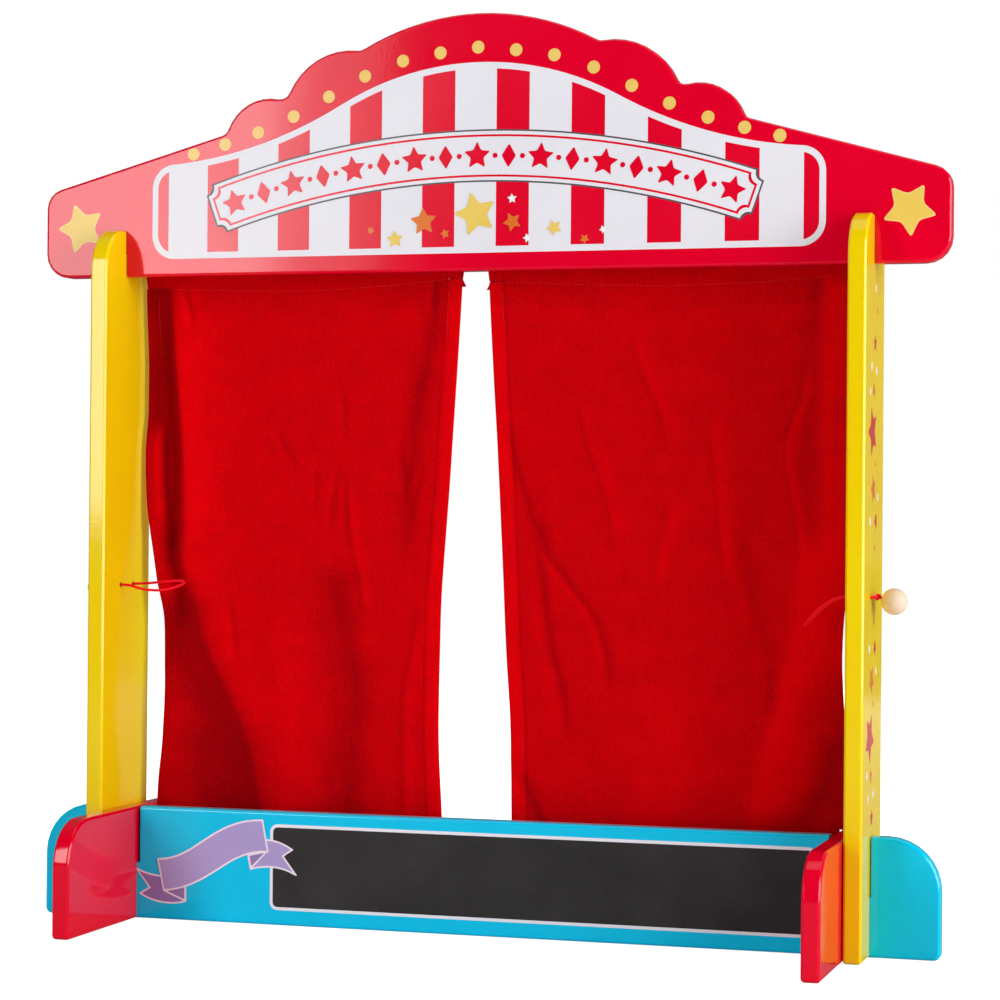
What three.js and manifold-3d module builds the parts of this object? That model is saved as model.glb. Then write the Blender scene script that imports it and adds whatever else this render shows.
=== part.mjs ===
// A table-top puppet theatre for children: painted boards that slot together, a curtain rod with
// two cloth curtains, and an elastic tie-back with a wooden ball on each upright.
// Millimetres, +Z up, +X to the right as the audience sees it, and the audience is at -Y.
// The origin is on the table, under the middle of the front board.
import * as THREE from "three";
import { mergeVertices } from "three/addons/utils/BufferGeometryUtils.js";
import Module from "manifold-3d";

// Boards and their joints
const BOARD = 12; // thickness of every board
const EDGE = 1.4; // softened edge of a board
const SEAT_GAP = 0.3; // clearance on each face of a slot, and at its end
const OVERRUN = 5; // how far a cutter passes the board it cuts

// Front board, with the writing panel
const FRONT_LENGTH = 622;
const FRONT_HEIGHT = 77;
const FRONT_TOP_R = 34;
const FRONT_BOTTOM_R = 4;
const FRONT_SLOT_DEPTH = 38.5; // from its top edge down
const FRONT_SLOT_INNER_ROOM = 1.6; // play beside the foot, which shows as a dark line
const FRONT_SLOT_OUTER_ROOM = 0.7;

// Uprights
const UPRIGHT_OUTER = 266; // from the middle to an upright's outer face
const UPRIGHT_DEPTH = 76;
const UPRIGHT_HEIGHT = 475;
const UPRIGHT_TOP_R = 30;
const UPRIGHT_BOTTOM_R = 2.5;

// Feet, one beside each upright
const FOOT_LENGTH = 230;
const FOOT_HEIGHT = 77;
const FOOT_TOP_R = 30;
const FOOT_BOTTOM_R = 3;
const FOOT_GAP = 0.6; // between a foot and its upright

// Header board
const HEADER_HALF = 315;
const HEADER_BOTTOM = 443; // height of its lower edge
const HEADER_LAP = 16; // how far its notches rise over the uprights
const HEADER_END_R = 17;
const EAVE_HEIGHT = 59; // where the slope would meet the end, from the lower edge
const EAVE_R = 14;
const EAVE_SLOPE = THREE.MathUtils.degToRad(15.7);
const VALLEY_R = 7;
const ARCH = { x: 0, z: 2.8, r: 169.2 };
const BUMP_INNER = { x: 92, z: 103.9, r: 47 };
const BUMP_OUTER = { x: 149.7, z: 88.6, r: 31.7 };

// Curtain rod, in blind holes in the uprights
const ROD_R = 5;
const ROD_Y = 22;
const ROD_Z = 452;
const ROD_SEAT = 6; // depth of each blind hole

// Curtains
const CLOTH = 1.5;
const CASING_GAP = 0.35; // between the rod and the cloth round it
const CASING_DROP = 16; // from the rod's middle down to the stitch line
const CURTAIN_BOTTOM = 22;
const CURTAIN_SIDE_GAP = 3; // between a curtain's top corner and the upright
const LEAD_WIDTH = 10; // the casing's end at the leading edge
const LEFT_LEAD_X = -18;
const RIGHT_LEAD_X = 0;
const FOLD_TOP = 1.2; // half depth of the folds under the casing
const FOLD_BOTTOM = 6.2; // and at the hem

// Elastic tie-backs
const CORD_R = 0.9;
const CORD_HOLE_R = 1.9;
const CORD_HOLE_Y = 10;
const CORD_HOLE_Z = 230;
const BALL_R = 8.5;
const BALL_STANDOFF = 5.5; // between the upright and the ball
const BALL_BORE_R = 2.4;
const BALL_BORE_DEPTH = 9;
const KNOT_R = 2.3;
const KNOT_TAIL_DEPTH = 6.5; // how far the cord's two ends reach into the ball
const RIGHT_BALL = { y: -3.5, z: 227.2 };
const LEFT_BALL = { y: 12, z: 227.4 };
const BORE_RISE = THREE.MathUtils.degToRad(16); // the ball hangs, so its bore slopes up to the knot

// Worked out from the sizes above
const UPRIGHT_INNER = UPRIGHT_OUTER - BOARD;
const FOOT_OUTER = UPRIGHT_INNER - FOOT_GAP;
const FOOT_INNER = FOOT_OUTER - BOARD;
const SLOT_WIDTH = BOARD + 2 * SEAT_GAP;
const FRONT_SLOT_FLOOR = FRONT_HEIGHT - FRONT_SLOT_DEPTH;
const LAP_HEIGHT = HEADER_BOTTOM + HEADER_LAP;

const wasm = await Module();
wasm.setup();

// Paints and cloths
function finish(color, roughness) {
  return new THREE.MeshStandardMaterial({ color, roughness, metalness: 0 });
}
const redPaint = finish(0xe6052d, 0.2);
const yellowPaint = finish(0xf4d10c, 0.2);
const bluePaint = finish(0x02b9d7, 0.2);
const curtainCloth = finish(0xb00508, 0.95);
const redElastic = finish(0xd4082c, 0.8);
const bareWood = finish(0xecd0b0, 0.55);

// Joining and cutting
function solidOf(geometry) {
  const bare = geometry.clone();
  bare.deleteAttribute("normal");
  bare.deleteAttribute("uv");
  const merged = mergeVertices(bare, EDGE / 1e4);
  const vertProperties = new Float32Array(merged.attributes.position.array);
  const triVerts = new Uint32Array(merged.index.array);
  return new wasm.Manifold(new wasm.Mesh({ numProp: 3, vertProperties, triVerts }));
}

function geometryOf(solid) {
  const mesh = solid.getMesh();
  const places = new Float32Array(mesh.numVert * 3);
  for (let i = 0; i < mesh.numVert; i += 1) {
    places.set(mesh.vertProperties.subarray(i * mesh.numProp, i * mesh.numProp + 3), i * 3);
  }
  const geometry = new THREE.BufferGeometry();
  geometry.setAttribute("position", new THREE.BufferAttribute(places, 3));
  geometry.setIndex(new THREE.BufferAttribute(mesh.triVerts, 1));
  geometry.computeVertexNormals();
  return geometry;
}

function cut(geometry, cutters) {
  let solid = solidOf(geometry);
  for (const cutter of cutters) solid = solid.subtract(solidOf(cutter));
  return geometryOf(solid);
}

function join(first, second) {
  return geometryOf(solidOf(first).add(solidOf(second)));
}

function boxBetween(low, high) {
  const box = new THREE.BoxGeometry(high[0] - low[0], high[1] - low[1], high[2] - low[2]);
  box.translate((low[0] + high[0]) / 2, (low[1] + high[1]) / 2, (low[2] + high[2]) / 2);
  return box;
}

function cylinderAlongX(radius, fromX, toX, y, z, sides) {
  const cylinder = new THREE.CylinderGeometry(radius, radius, toX - fromX, sides);
  cylinder.rotateZ(-Math.PI / 2);
  cylinder.translate((fromX + toX) / 2, y, z);
  return cylinder;
}

// Outlines. Arcs are laid down as points, so that one outline can hold circles that meet.
function addArc(points, centre, radius, from, to, steps) {
  for (let i = 0; i <= steps; i += 1) {
    const angle = from + ((to - from) * i) / steps;
    points.push(
      new THREE.Vector2(centre.x + radius * Math.cos(angle), centre.y + radius * Math.sin(angle)),
    );
  }
}

function roundedOutline(halfWidth, height, bottomR, topR, bottomSteps, topSteps) {
  const quarter = Math.PI / 2;
  const points = [];
  const low = halfWidth - bottomR;
  const high = halfWidth - topR;
  addArc(points, { x: low, y: bottomR }, bottomR, -quarter, 0, bottomSteps);
  addArc(points, { x: high, y: height - topR }, topR, 0, quarter, topSteps);
  addArc(points, { x: -high, y: height - topR }, topR, quarter, 2 * quarter, topSteps);
  addArc(points, { x: -low, y: bottomR }, bottomR, 2 * quarter, 3 * quarter, bottomSteps);
  return points;
}

// A board is its outline with softened edges: it stands across the stage, or from front to back.
// Points that fall together where two arcs meet are dropped.
function board(outline) {
  const near = EDGE / 1e3;
  const points = outline.filter((point, i) => point.distanceTo(outline.at(i - 1)) > near);
  return new THREE.ExtrudeGeometry(new THREE.Shape(points), {
    depth: BOARD - 2 * EDGE,
    bevelEnabled: true,
    bevelThickness: EDGE,
    bevelSize: EDGE,
    bevelOffset: -EDGE,
    bevelSegments: 1,
  }).translate(0, 0, EDGE - BOARD / 2);
}

function boardAcross(points) {
  return board(points).rotateX(Math.PI / 2);
}

function boardFrontToBack(points, middleX) {
  const turn = new THREE.Matrix4().makeBasis(
    new THREE.Vector3(0, 1, 0),
    new THREE.Vector3(0, 0, 1),
    new THREE.Vector3(1, 0, 0),
  );
  return board(points).applyMatrix4(turn).translate(middleX, 0, 0);
}

const theatre = new THREE.Group();

function addPiece(name, geometry, material) {
  const piece = new THREE.Mesh(geometry, material);
  piece.name = name;
  theatre.add(piece);
}

// Front board: a long low board with a slot from above at each end, for a foot and an upright
function frontSlot(side) {
  const from = side * (FOOT_INNER - FRONT_SLOT_INNER_ROOM);
  const to = side * (UPRIGHT_OUTER + FRONT_SLOT_OUTER_ROOM);
  return boxBetween(
    [Math.min(from, to), -BOARD, FRONT_SLOT_FLOOR],
    [Math.max(from, to), BOARD, FRONT_HEIGHT + OVERRUN],
  );
}

function frontBoard() {
  const outline = roundedOutline(
    FRONT_LENGTH / 2, FRONT_HEIGHT, FRONT_BOTTOM_R, FRONT_TOP_R, 3, 8,
  );
  return cut(boardAcross(outline), [frontSlot(-1), frontSlot(1)]);
}

// A slot from below that drops over the front board
function lapFromBelow(middleX) {
  return boxBetween(
    [middleX - BOARD, -SLOT_WIDTH / 2, -OVERRUN],
    [middleX + BOARD, SLOT_WIDTH / 2, FRONT_SLOT_FLOOR + SEAT_GAP],
  );
}

function foot(side) {
  const middleX = (side * (FOOT_INNER + FOOT_OUTER)) / 2;
  const outline = roundedOutline(
    FOOT_LENGTH / 2, FOOT_HEIGHT, FOOT_BOTTOM_R, FOOT_TOP_R, 3, 7,
  );
  return cut(boardFrontToBack(outline, middleX), [lapFromBelow(middleX)]);
}

// Upright: slots at both ends, two small holes for the tie-back, and a blind hole for the rod
function upright(side) {
  const middleX = (side * (UPRIGHT_INNER + UPRIGHT_OUTER)) / 2;
  const outline = roundedOutline(
    UPRIGHT_DEPTH / 2, UPRIGHT_HEIGHT, UPRIGHT_BOTTOM_R, UPRIGHT_TOP_R, 3, 8,
  );
  const headerSlot = boxBetween(
    [middleX - BOARD, -SLOT_WIDTH / 2, LAP_HEIGHT - SEAT_GAP / 2],
    [middleX + BOARD, SLOT_WIDTH / 2, UPRIGHT_HEIGHT + OVERRUN],
  );
  const rodEnds = [side * (UPRIGHT_INNER - OVERRUN), side * (UPRIGHT_INNER + ROD_SEAT)];
  const rodHole = cylinderAlongX(
    ROD_R + SEAT_GAP, Math.min(...rodEnds), Math.max(...rodEnds), ROD_Y, ROD_Z, 24,
  );
  const cordHoles = [-CORD_HOLE_Y, CORD_HOLE_Y].map((y) =>
    cylinderAlongX(CORD_HOLE_R, middleX - BOARD, middleX + BOARD, y, CORD_HOLE_Z, 16),
  );
  return cut(boardFrontToBack(outline, middleX), [
    lapFromBelow(middleX),
    headerSlot,
    rodHole,
    ...cordHoles,
  ]);
}

// Header board: its right half is drawn from the lower corner to the arch, and mirrored.
// A valley is a small arc that touches the two shapes beside it from above.
function eaveLine(x) {
  return EAVE_HEIGHT + (HEADER_HALF - x) * Math.tan(EAVE_SLOPE);
}

function valleyOnSlope(bump) {
  const lift = VALLEY_R / Math.cos(EAVE_SLOPE);
  const reach = bump.r + VALLEY_R;
  const slope = -Math.tan(EAVE_SLOPE);
  const start = eaveLine(0) + lift - bump.z;
  const a = 1 + slope * slope;
  const b = 2 * (slope * start - bump.x);
  const c = bump.x * bump.x + start * start - reach * reach;
  const x = (-b + Math.sqrt(b * b - 4 * a * c)) / (2 * a);
  return new THREE.Vector2(x, eaveLine(x) + lift);
}

function valleyBetween(outer, inner) {
  const from = new THREE.Vector2(outer.x, outer.z);
  const apart = new THREE.Vector2(inner.x, inner.z).sub(from);
  const gap = apart.length();
  const reachOuter = outer.r + VALLEY_R;
  const reachInner = inner.r + VALLEY_R;
  const along = (reachOuter * reachOuter - reachInner * reachInner + gap * gap) / (2 * gap);
  const off = Math.sqrt(reachOuter * reachOuter - along * along);
  const unit = apart.clone().normalize();
  const upward = new THREE.Vector2(unit.y, -unit.x);
  if (upward.y < 0) upward.negate();
  return from.addScaledVector(unit, along).addScaledVector(upward, off);
}

function angleFrom(centre, point) {
  return Math.atan2(point.y - centre.y, point.x - centre.x);
}

function headerHalfOutline() {
  const quarter = Math.PI / 2;
  const points = [];
  const corner = { x: HEADER_HALF - HEADER_END_R, y: HEADER_END_R };
  addArc(points, corner, HEADER_END_R, -quarter, 0, 5);
  const eaveX = HEADER_HALF - EAVE_R;
  const eave = { x: eaveX, y: eaveLine(eaveX) - EAVE_R / Math.cos(EAVE_SLOPE) };
  addArc(points, eave, EAVE_R, 0, quarter - EAVE_SLOPE, 4);

  const outer = { x: BUMP_OUTER.x, y: BUMP_OUTER.z };
  const inner = { x: BUMP_INNER.x, y: BUMP_INNER.z };
  const arch = { x: ARCH.x, y: ARCH.z };
  const low = valleyOnSlope(BUMP_OUTER);
  const middle = valleyBetween(BUMP_OUTER, BUMP_INNER);
  const high = valleyBetween(BUMP_INNER, ARCH);
  addArc(points, low, VALLEY_R, -quarter - EAVE_SLOPE, angleFrom(low, outer), 3);
  addArc(points, outer, BUMP_OUTER.r, angleFrom(outer, low), angleFrom(outer, middle), 8);
  addArc(points, middle, VALLEY_R, angleFrom(middle, outer), angleFrom(middle, inner), 3);
  addArc(points, inner, BUMP_INNER.r, angleFrom(inner, middle), angleFrom(inner, high), 8);
  addArc(points, high, VALLEY_R, angleFrom(high, inner), angleFrom(high, arch), 2);
  addArc(points, arch, ARCH.r, angleFrom(arch, high), quarter, 9);
  return points;
}

function headerBoard() {
  const right = headerHalfOutline();
  const left = right
    .slice(0, -1)
    .reverse()
    .map((point) => new THREE.Vector2(-point.x, point.y));
  const notches = [-1, 1].map((side) => {
    const middleX = (side * (UPRIGHT_INNER + UPRIGHT_OUTER)) / 2;
    return boxBetween(
      [middleX - SLOT_WIDTH / 2, -BOARD, HEADER_BOTTOM - OVERRUN],
      [middleX + SLOT_WIDTH / 2, BOARD, LAP_HEIGHT + SEAT_GAP / 2],
    );
  });
  const whole = boardAcross([...right, ...left]).translate(0, 0, HEADER_BOTTOM);
  return cut(whole, notches);
}

// Rod
function curtainRod() {
  const half = UPRIGHT_INNER + ROD_SEAT - SEAT_GAP;
  return cylinderAlongX(ROD_R, -half, half, ROD_Y, ROD_Z, 24);
}

// Casing: the curtain's top edge turned over the rod and stitched down behind itself
function casing(fromX, toX) {
  const inner = ROD_R + CASING_GAP;
  const outer = inner + CLOTH;
  const tilt = Math.asin((outer - CLOTH / 2) / CASING_DROP);
  const section = [];
  addArc(section, { x: 0, y: 0 }, outer, -tilt, Math.PI + tilt, 14);
  section.push(new THREE.Vector2(-CLOTH / 2, -CASING_DROP));
  section.push(new THREE.Vector2(CLOTH / 2, -CASING_DROP));
  const shape = new THREE.Shape(section);
  const hole = new THREE.Path();
  hole.absarc(0, 0, inner, 0, 2 * Math.PI, true);
  shape.holes.push(hole);
  const turn = new THREE.Matrix4().makeBasis(
    new THREE.Vector3(0, 1, 0),
    new THREE.Vector3(0, 0, 1),
    new THREE.Vector3(1, 0, 0),
  );
  const sleeve = new THREE.ExtrudeGeometry(shape, {
    depth: toX - fromX,
    bevelEnabled: false,
    curveSegments: 10,
  });
  return sleeve.applyMatrix4(turn).translate(fromX, ROD_Y, ROD_Z);
}

// How far each side edge has drawn in, as shares of the curtain's width, at shares of its drop
const levelShares = [0, 0.12, 0.25, 0.36, 0.48, 0.6, 0.73, 0.86, 1];
const leftSideShares = [0.004, 0.006, 0.01, 0.016, 0.044, 0.061, 0.07, 0.05, 0.05];
const leftLeadShares = [0, 0.008, 0.026, 0.039, 0.056, 0.065, 0.066, 0.054, 0.05];
const rightSideShares = [0.004, 0.012, 0.034, 0.043, 0.043, 0.04, 0.04, 0.044, 0.046];
const rightLeadShares = [0, 0.014, 0.029, 0.042, 0.052, 0.063, 0.078, 0.079, 0.082];

function curve(shares) {
  const values = new Float32Array(shares);
  return new THREE.CubicInterpolant(new Float32Array(levelShares), values, 1, [0]);
}

// Folds: each is a wave across the cloth, as its count, its start and its share of the depth
const leftFolds = [
  { count: 3.4, start: 1.2, drift: 0.9, weightShare: 0.62 },
  { count: 7.2, start: 0.3, drift: -0.7, weightShare: 0.38 },
];
const rightFolds = [
  { count: 2.9, start: 4.1, drift: -0.8, weightShare: 0.6 },
  { count: 6.5, start: 2.2, drift: 1.1, weightShare: 0.4 },
];

function foldDepth(folds, across, down) {
  const size = FOLD_TOP + (FOLD_BOTTOM - FOLD_TOP) * Math.sqrt(down);
  let depth = 0;
  for (const fold of folds) {
    const phase = 2 * Math.PI * fold.count * across + fold.start + fold.drift * down;
    depth += fold.weightShare * Math.sin(phase);
  }
  return size * depth * THREE.MathUtils.smoothstep(down, 0, 0.03);
}

// One curtain's hanging cloth, as a closed sheet of two faces and a rim
function hangingCloth(sideX, leadX, sideShares, leadShares, folds) {
  const across = 38;
  const downSteps = 11;
  const drop = ROD_Z - CASING_DROP - CURTAIN_BOTTOM;
  const top = CURTAIN_BOTTOM + drop + CLOTH;
  const sideCurve = curve(sideShares);
  const leadCurve = curve(leadShares);
  const width = leadX - sideX;
  const places = [];
  for (const face of [-1, 1]) {
    for (let j = 0; j <= downSteps; j += 1) {
      const down = j / downSteps;
      const from = sideX + width * sideCurve.evaluate(down)[0];
      const to = leadX - width * leadCurve.evaluate(down)[0];
      for (let i = 0; i <= across; i += 1) {
        const share = i / across;
        const y = ROD_Y + foldDepth(folds, share, down) + (face * CLOTH) / 2;
        places.push(from + (to - from) * share, y, top - (drop + CLOTH) * down);
      }
    }
  }
  const row = across + 1;
  const layer = row * (downSteps + 1);
  const faces = [];
  const quad = (a, b, c, d) => faces.push(a, b, c, a, c, d);
  for (let j = 0; j < downSteps; j += 1) {
    for (let i = 0; i < across; i += 1) {
      const a = j * row + i;
      quad(a, a + row, a + row + 1, a + 1);
      quad(layer + a, layer + a + 1, layer + a + row + 1, layer + a + row);
    }
    const left = j * row;
    const right = left + across;
    quad(left, layer + left, layer + left + row, left + row);
    quad(right, right + row, layer + right + row, layer + right);
  }
  for (let i = 0; i < across; i += 1) {
    const low = downSteps * row + i;
    quad(i, i + 1, layer + i + 1, layer + i);
    quad(low, layer + low, layer + low + 1, low + 1);
  }
  if (width < 0) {
    for (let k = 0; k < faces.length; k += 3) {
      [faces[k + 1], faces[k + 2]] = [faces[k + 2], faces[k + 1]];
    }
  }
  const geometry = new THREE.BufferGeometry();
  geometry.setAttribute("position", new THREE.Float32BufferAttribute(places, 3));
  geometry.setIndex(faces);
  return geometry;
}

// The leading end of the casing is a piece of its own, because it slides along the rod
function addCurtain(side, word, leadX, sideShares, leadShares, folds) {
  const sideX = side * (UPRIGHT_INNER - CURTAIN_SIDE_GAP);
  const cloth = hangingCloth(sideX, leadX, sideShares, leadShares, folds);
  const leadStart = leadX + side * LEAD_WIDTH;
  const clothEnd = leadStart + side * SEAT_GAP;
  const sleeve = casing(Math.min(sideX, clothEnd), Math.max(sideX, clothEnd));
  const lead = casing(Math.min(leadX, leadStart), Math.max(leadX, leadStart));
  const room = boxBetween(
    [Math.min(leadX, clothEnd) - (side > 0 ? OVERRUN : 0), 0, ROD_Z - CASING_DROP - SEAT_GAP],
    [Math.max(leadX, clothEnd) + (side < 0 ? OVERRUN : 0), 2 * ROD_Y, ROD_Z + 2 * ROD_R],
  );
  addPiece(`curtain_${word}`, cut(join(cloth, sleeve), [room]), curtainCloth);
  addPiece(`curtain_${word}_lead`, lead, curtainCloth);
}

// Tie-backs: one elastic from the knot through the front hole, round, and back through the rear
// hole to the knot. Both ends of the knot go on into the ball. The routes are chosen by hand.
const rightRoute = [
  [269.4, -6.2, 230.1],
  [268.9, -7.9, 230],
  [267.6, -9.4, 229.8],
  [265.8, -10, 229.65],
  [262, -10, 229.75],
  [257, -10, 230],
  [251, -10, 229.9],
  [246.5, -9.9, 229.4],
  [242.5, -9.7, 228.3],
  [238.5, -9.3, 226.2],
  [234.5, -8.7, 223.4],
  [230.5, -7.8, 219.8],
  [227, -6.6, 216.1],
  [224.3, -4.9, 213],
  [222.9, -2.7, 211.4],
  [222.4, 0, 210.8],
  [222.9, 2.7, 211.4],
  [224.3, 4.9, 213],
  [227, 6.6, 216.1],
  [230.5, 7.8, 219.8],
  [234.5, 8.7, 223.4],
  [238.5, 9.3, 226.2],
  [242.5, 9.7, 228.3],
  [246.5, 9.9, 229.4],
  [251, 10, 229.9],
  [257, 10, 230],
  [262, 10, 229.75],
  [265.8, 10, 229.65],
  [267.6, 9.4, 229.7],
  [268.9, 7.9, 229.8],
  [269.4, 6, 229.9],
  [269.45, 2.5, 230],
  [269.45, -0.8, 230.1],
];
const leftRoute = [
  [-269.45, 9, 230.3],
  [-269.45, 4.5, 230.2],
  [-269.45, -0.5, 230.1],
  [-269.4, -6, 229.95],
  [-268.9, -7.9, 229.85],
  [-267.6, -9.4, 229.75],
  [-265.8, -10, 229.7],
  [-262, -10, 229.8],
  [-257, -10, 229.95],
  [-251, -10, 229.9],
  [-246.5, -10, 229.4],
  [-242, -10.1, 228.2],
  [-236.6, -10.2, 227],
  [-230.4, -10.2, 226.5],
  [-224.2, -9.7, 226.6],
  [-218.2, -8.4, 227.5],
  [-213.4, -5.5, 229.3],
  [-211.2, -0.9, 231.1],
  [-212.8, 3.8, 232.2],
  [-217.4, 7.4, 232.7],
  [-223.4, 9.3, 232.5],
  [-230, 9.9, 231.9],
  [-237, 10, 231.2],
  [-244, 10, 230.6],
  [-251, 10, 230.2],
  [-257, 10, 230],
  [-262, 10, 229.95],
  [-265, 10, 230],
  [-267.1, 10.2, 230.1],
];

function cordTube(points) {
  const route = points.map(([x, y, z]) => new THREE.Vector3(x, y, z));
  const section = new THREE.Shape();
  section.absarc(0, 0, CORD_R, 0, 2 * Math.PI, false);
  return new THREE.ExtrudeGeometry(section, {
    steps: 80,
    curveSegments: 4,
    bevelEnabled: false,
    extrudePath: new THREE.CatmullRomCurve3(route, false, "centripetal"),
  });
}

// The ball and its knot are made along a bore that starts in the ball's middle, then are hung
function hang(geometry, side, place) {
  const middleX = side * (UPRIGHT_OUTER + BALL_STANDOFF + BALL_R);
  geometry.rotateY(side * (BORE_RISE - Math.PI / 2));
  return geometry.translate(middleX, place.y, place.z);
}

function ball(side, place) {
  const reach = BALL_R + OVERRUN;
  const sphere = new THREE.SphereGeometry(BALL_R, 24, 14).rotateX(Math.PI / 2);
  const bore = new THREE.CylinderGeometry(BALL_BORE_R, BALL_BORE_R, BALL_BORE_DEPTH + OVERRUN, 16);
  bore.rotateX(Math.PI / 2).translate(0, 0, reach - (BALL_BORE_DEPTH + OVERRUN) / 2);
  return hang(cut(sphere, [bore]), side, place);
}

function knot(side, place) {
  const seat = BALL_R + KNOT_R;
  const neckR = BALL_BORE_R - SEAT_GAP;
  const start = Math.acos(neckR / KNOT_R);
  const profile = [new THREE.Vector2(0, BALL_R - KNOT_TAIL_DEPTH)];
  profile.push(new THREE.Vector2(neckR, BALL_R - KNOT_TAIL_DEPTH));
  addArc(profile, { x: 0, y: seat + SEAT_GAP / 3 }, KNOT_R, -start, Math.PI / 2, 7);
  profile.at(-1).x = 0;
  const turned = new THREE.LatheGeometry(profile, 12).rotateX(Math.PI / 2);
  return hang(turned, side, place);
}

// The whole theatre
addPiece("front_board", frontBoard(), bluePaint);
addPiece("header_board", headerBoard(), redPaint);
addPiece("curtain_rod", curtainRod(), bareWood);
addCurtain(-1, "left", LEFT_LEAD_X, leftSideShares, leftLeadShares, leftFolds);
addCurtain(1, "right", RIGHT_LEAD_X, rightSideShares, rightLeadShares, rightFolds);
const sides = [
  { side: -1, word: "left", route: leftRoute, place: LEFT_BALL },
  { side: 1, word: "right", route: rightRoute, place: RIGHT_BALL },
];
for (const { side, word, route, place } of sides) {
  addPiece(`foot_${word}`, foot(side), redPaint);
  addPiece(`upright_${word}`, upright(side), yellowPaint);
  addPiece(`tieback_cord_${word}`, cordTube(route), redElastic);
  addPiece(`tieback_knot_${word}`, knot(side, place), redElastic);
  addPiece(`tieback_ball_${word}`, ball(side, place), bareWood);
}

export default theatre;
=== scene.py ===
from math import acos, asin, cos, degrees, exp, hypot, pi, radians, sin, sqrt

import bpy
import numpy as np
from mathutils import Matrix, Quaternion, Vector, noise


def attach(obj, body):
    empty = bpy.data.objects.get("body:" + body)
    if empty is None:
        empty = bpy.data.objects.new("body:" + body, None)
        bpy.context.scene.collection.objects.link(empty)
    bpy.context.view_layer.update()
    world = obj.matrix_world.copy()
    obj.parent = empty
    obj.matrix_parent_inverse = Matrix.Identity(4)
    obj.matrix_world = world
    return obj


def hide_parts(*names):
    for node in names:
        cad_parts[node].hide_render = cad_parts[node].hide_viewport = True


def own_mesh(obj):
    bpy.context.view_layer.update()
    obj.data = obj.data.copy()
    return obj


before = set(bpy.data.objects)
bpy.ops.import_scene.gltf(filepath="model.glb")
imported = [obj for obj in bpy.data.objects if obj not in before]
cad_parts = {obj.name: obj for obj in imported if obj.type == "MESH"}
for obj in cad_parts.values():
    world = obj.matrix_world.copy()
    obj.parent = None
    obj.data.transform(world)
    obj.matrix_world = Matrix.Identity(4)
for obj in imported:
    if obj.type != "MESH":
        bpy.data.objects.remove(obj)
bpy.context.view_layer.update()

# The view
# The audience's side, a little to the right of the middle and level with the stage, from almost
# two metres away, with the camera leaning half a degree.
MM = 0.001
PHOTO_MM = 36
LENS_MM = 98.25
AZIMUTH = radians(16.68)
ELEVATION = radians(-0.3275)
LEAN = radians(0.489)
AIM = Vector((16.04, 0, 290.25)) * MM
AWAY = 1818.68 * MM

back = Vector((
    sin(AZIMUTH) * cos(ELEVATION),
    -cos(AZIMUTH) * cos(ELEVATION),
    sin(ELEVATION),
))
bpy.ops.object.camera_add(location=AIM + back * AWAY)
camera = bpy.context.object
camera.name = "camera"
camera.rotation_mode = "QUATERNION"
camera.rotation_quaternion = (-back).to_track_quat("-Z", "Y") @ Quaternion((0, 0, 1), LEAN)
camera.data.lens = LENS_MM
camera.data.sensor_width = PHOTO_MM
bpy.context.scene.camera = camera
bpy.context.scene.view_settings.view_transform = "Standard"

# Elastic tie-backs
# One round braided elastic on each side, 1.8 mm thick. It runs from its knot through the front
# hole of the upright, round in a slack loop, and back through the rear hole to the knot.
CORD_R = 0.9
BRAID_PITCH = 1.6
BRAID_STRANDS = 6
# The cord's red, and a darker red for its random tone and for painted shade in the braid's grooves
CORD_RED = (250, 4, 38)
CORD_SHADE = (232, 0, 30)
rightRoute = [
    (269.4, -6.2, 230.1), (268.9, -7.9, 230), (267.6, -9.4, 229.8), (265.8, -10, 229.65),
    (262, -10, 229.75), (257, -10, 230), (251, -10, 229.9), (246.5, -9.9, 229.4),
    (242.5, -9.7, 228.3), (238.5, -9.3, 226.2), (234.5, -8.7, 223.4), (230.5, -7.8, 219.8),
    (227, -6.6, 216.1), (224.3, -4.9, 213), (222.9, -2.7, 211.4), (222.4, 0, 210.8),
    (222.9, 2.7, 211.4), (224.3, 4.9, 213), (227, 6.6, 216.1), (230.5, 7.8, 219.8),
    (234.5, 8.7, 223.4), (238.5, 9.3, 226.2), (242.5, 9.7, 228.3), (246.5, 9.9, 229.4),
    (251, 10, 229.9), (257, 10, 230), (262, 10, 229.75), (265.8, 10, 229.65),
    (267.6, 9.4, 229.7), (268.9, 7.9, 229.8), (269.4, 6, 229.9), (269.45, 2.5, 230),
    (269.45, -0.8, 230.1),
]
leftRoute = [
    (-269.45, 9, 230.3), (-269.45, 4.5, 230.2), (-269.45, -0.5, 230.1), (-269.4, -6, 229.95),
    (-268.9, -7.9, 229.85), (-267.6, -9.4, 229.75), (-265.8, -10, 229.7), (-262, -10, 229.8),
    (-257, -10, 229.95), (-251, -10, 229.9), (-246.5, -10, 229.4), (-242, -10.1, 228.2),
    (-236.6, -10.2, 227), (-230.4, -10.2, 226.5), (-224.2, -9.7, 226.6), (-218.2, -8.4, 227.5),
    (-213.4, -5.5, 229.3), (-211.2, -0.9, 231.1), (-212.8, 3.8, 232.2), (-217.4, 7.4, 232.7),
    (-223.4, 9.3, 232.5), (-230, 9.9, 231.9), (-237, 10, 231.2), (-244, 10, 230.6),
    (-251, 10, 230.2), (-257, 10, 230), (-262, 10, 229.95), (-265, 10, 230),
    (-267.1, 10.2, 230.1),
]


def linear(color):
    """A colour as it looks on a screen, 0 to 255, as the shader's own numbers."""
    shares = [c / 255 for c in color]
    return [s / 12.92 if s <= 0.04045 else ((s + 0.055) / 1.055) ** 2.4 for s in shares] + [1]


def choose(piece):
    """Selects one object alone and makes it the active one."""
    bpy.ops.object.select_all(action="DESELECT")
    piece.select_set(True)
    bpy.context.view_layer.objects.active = piece


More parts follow.
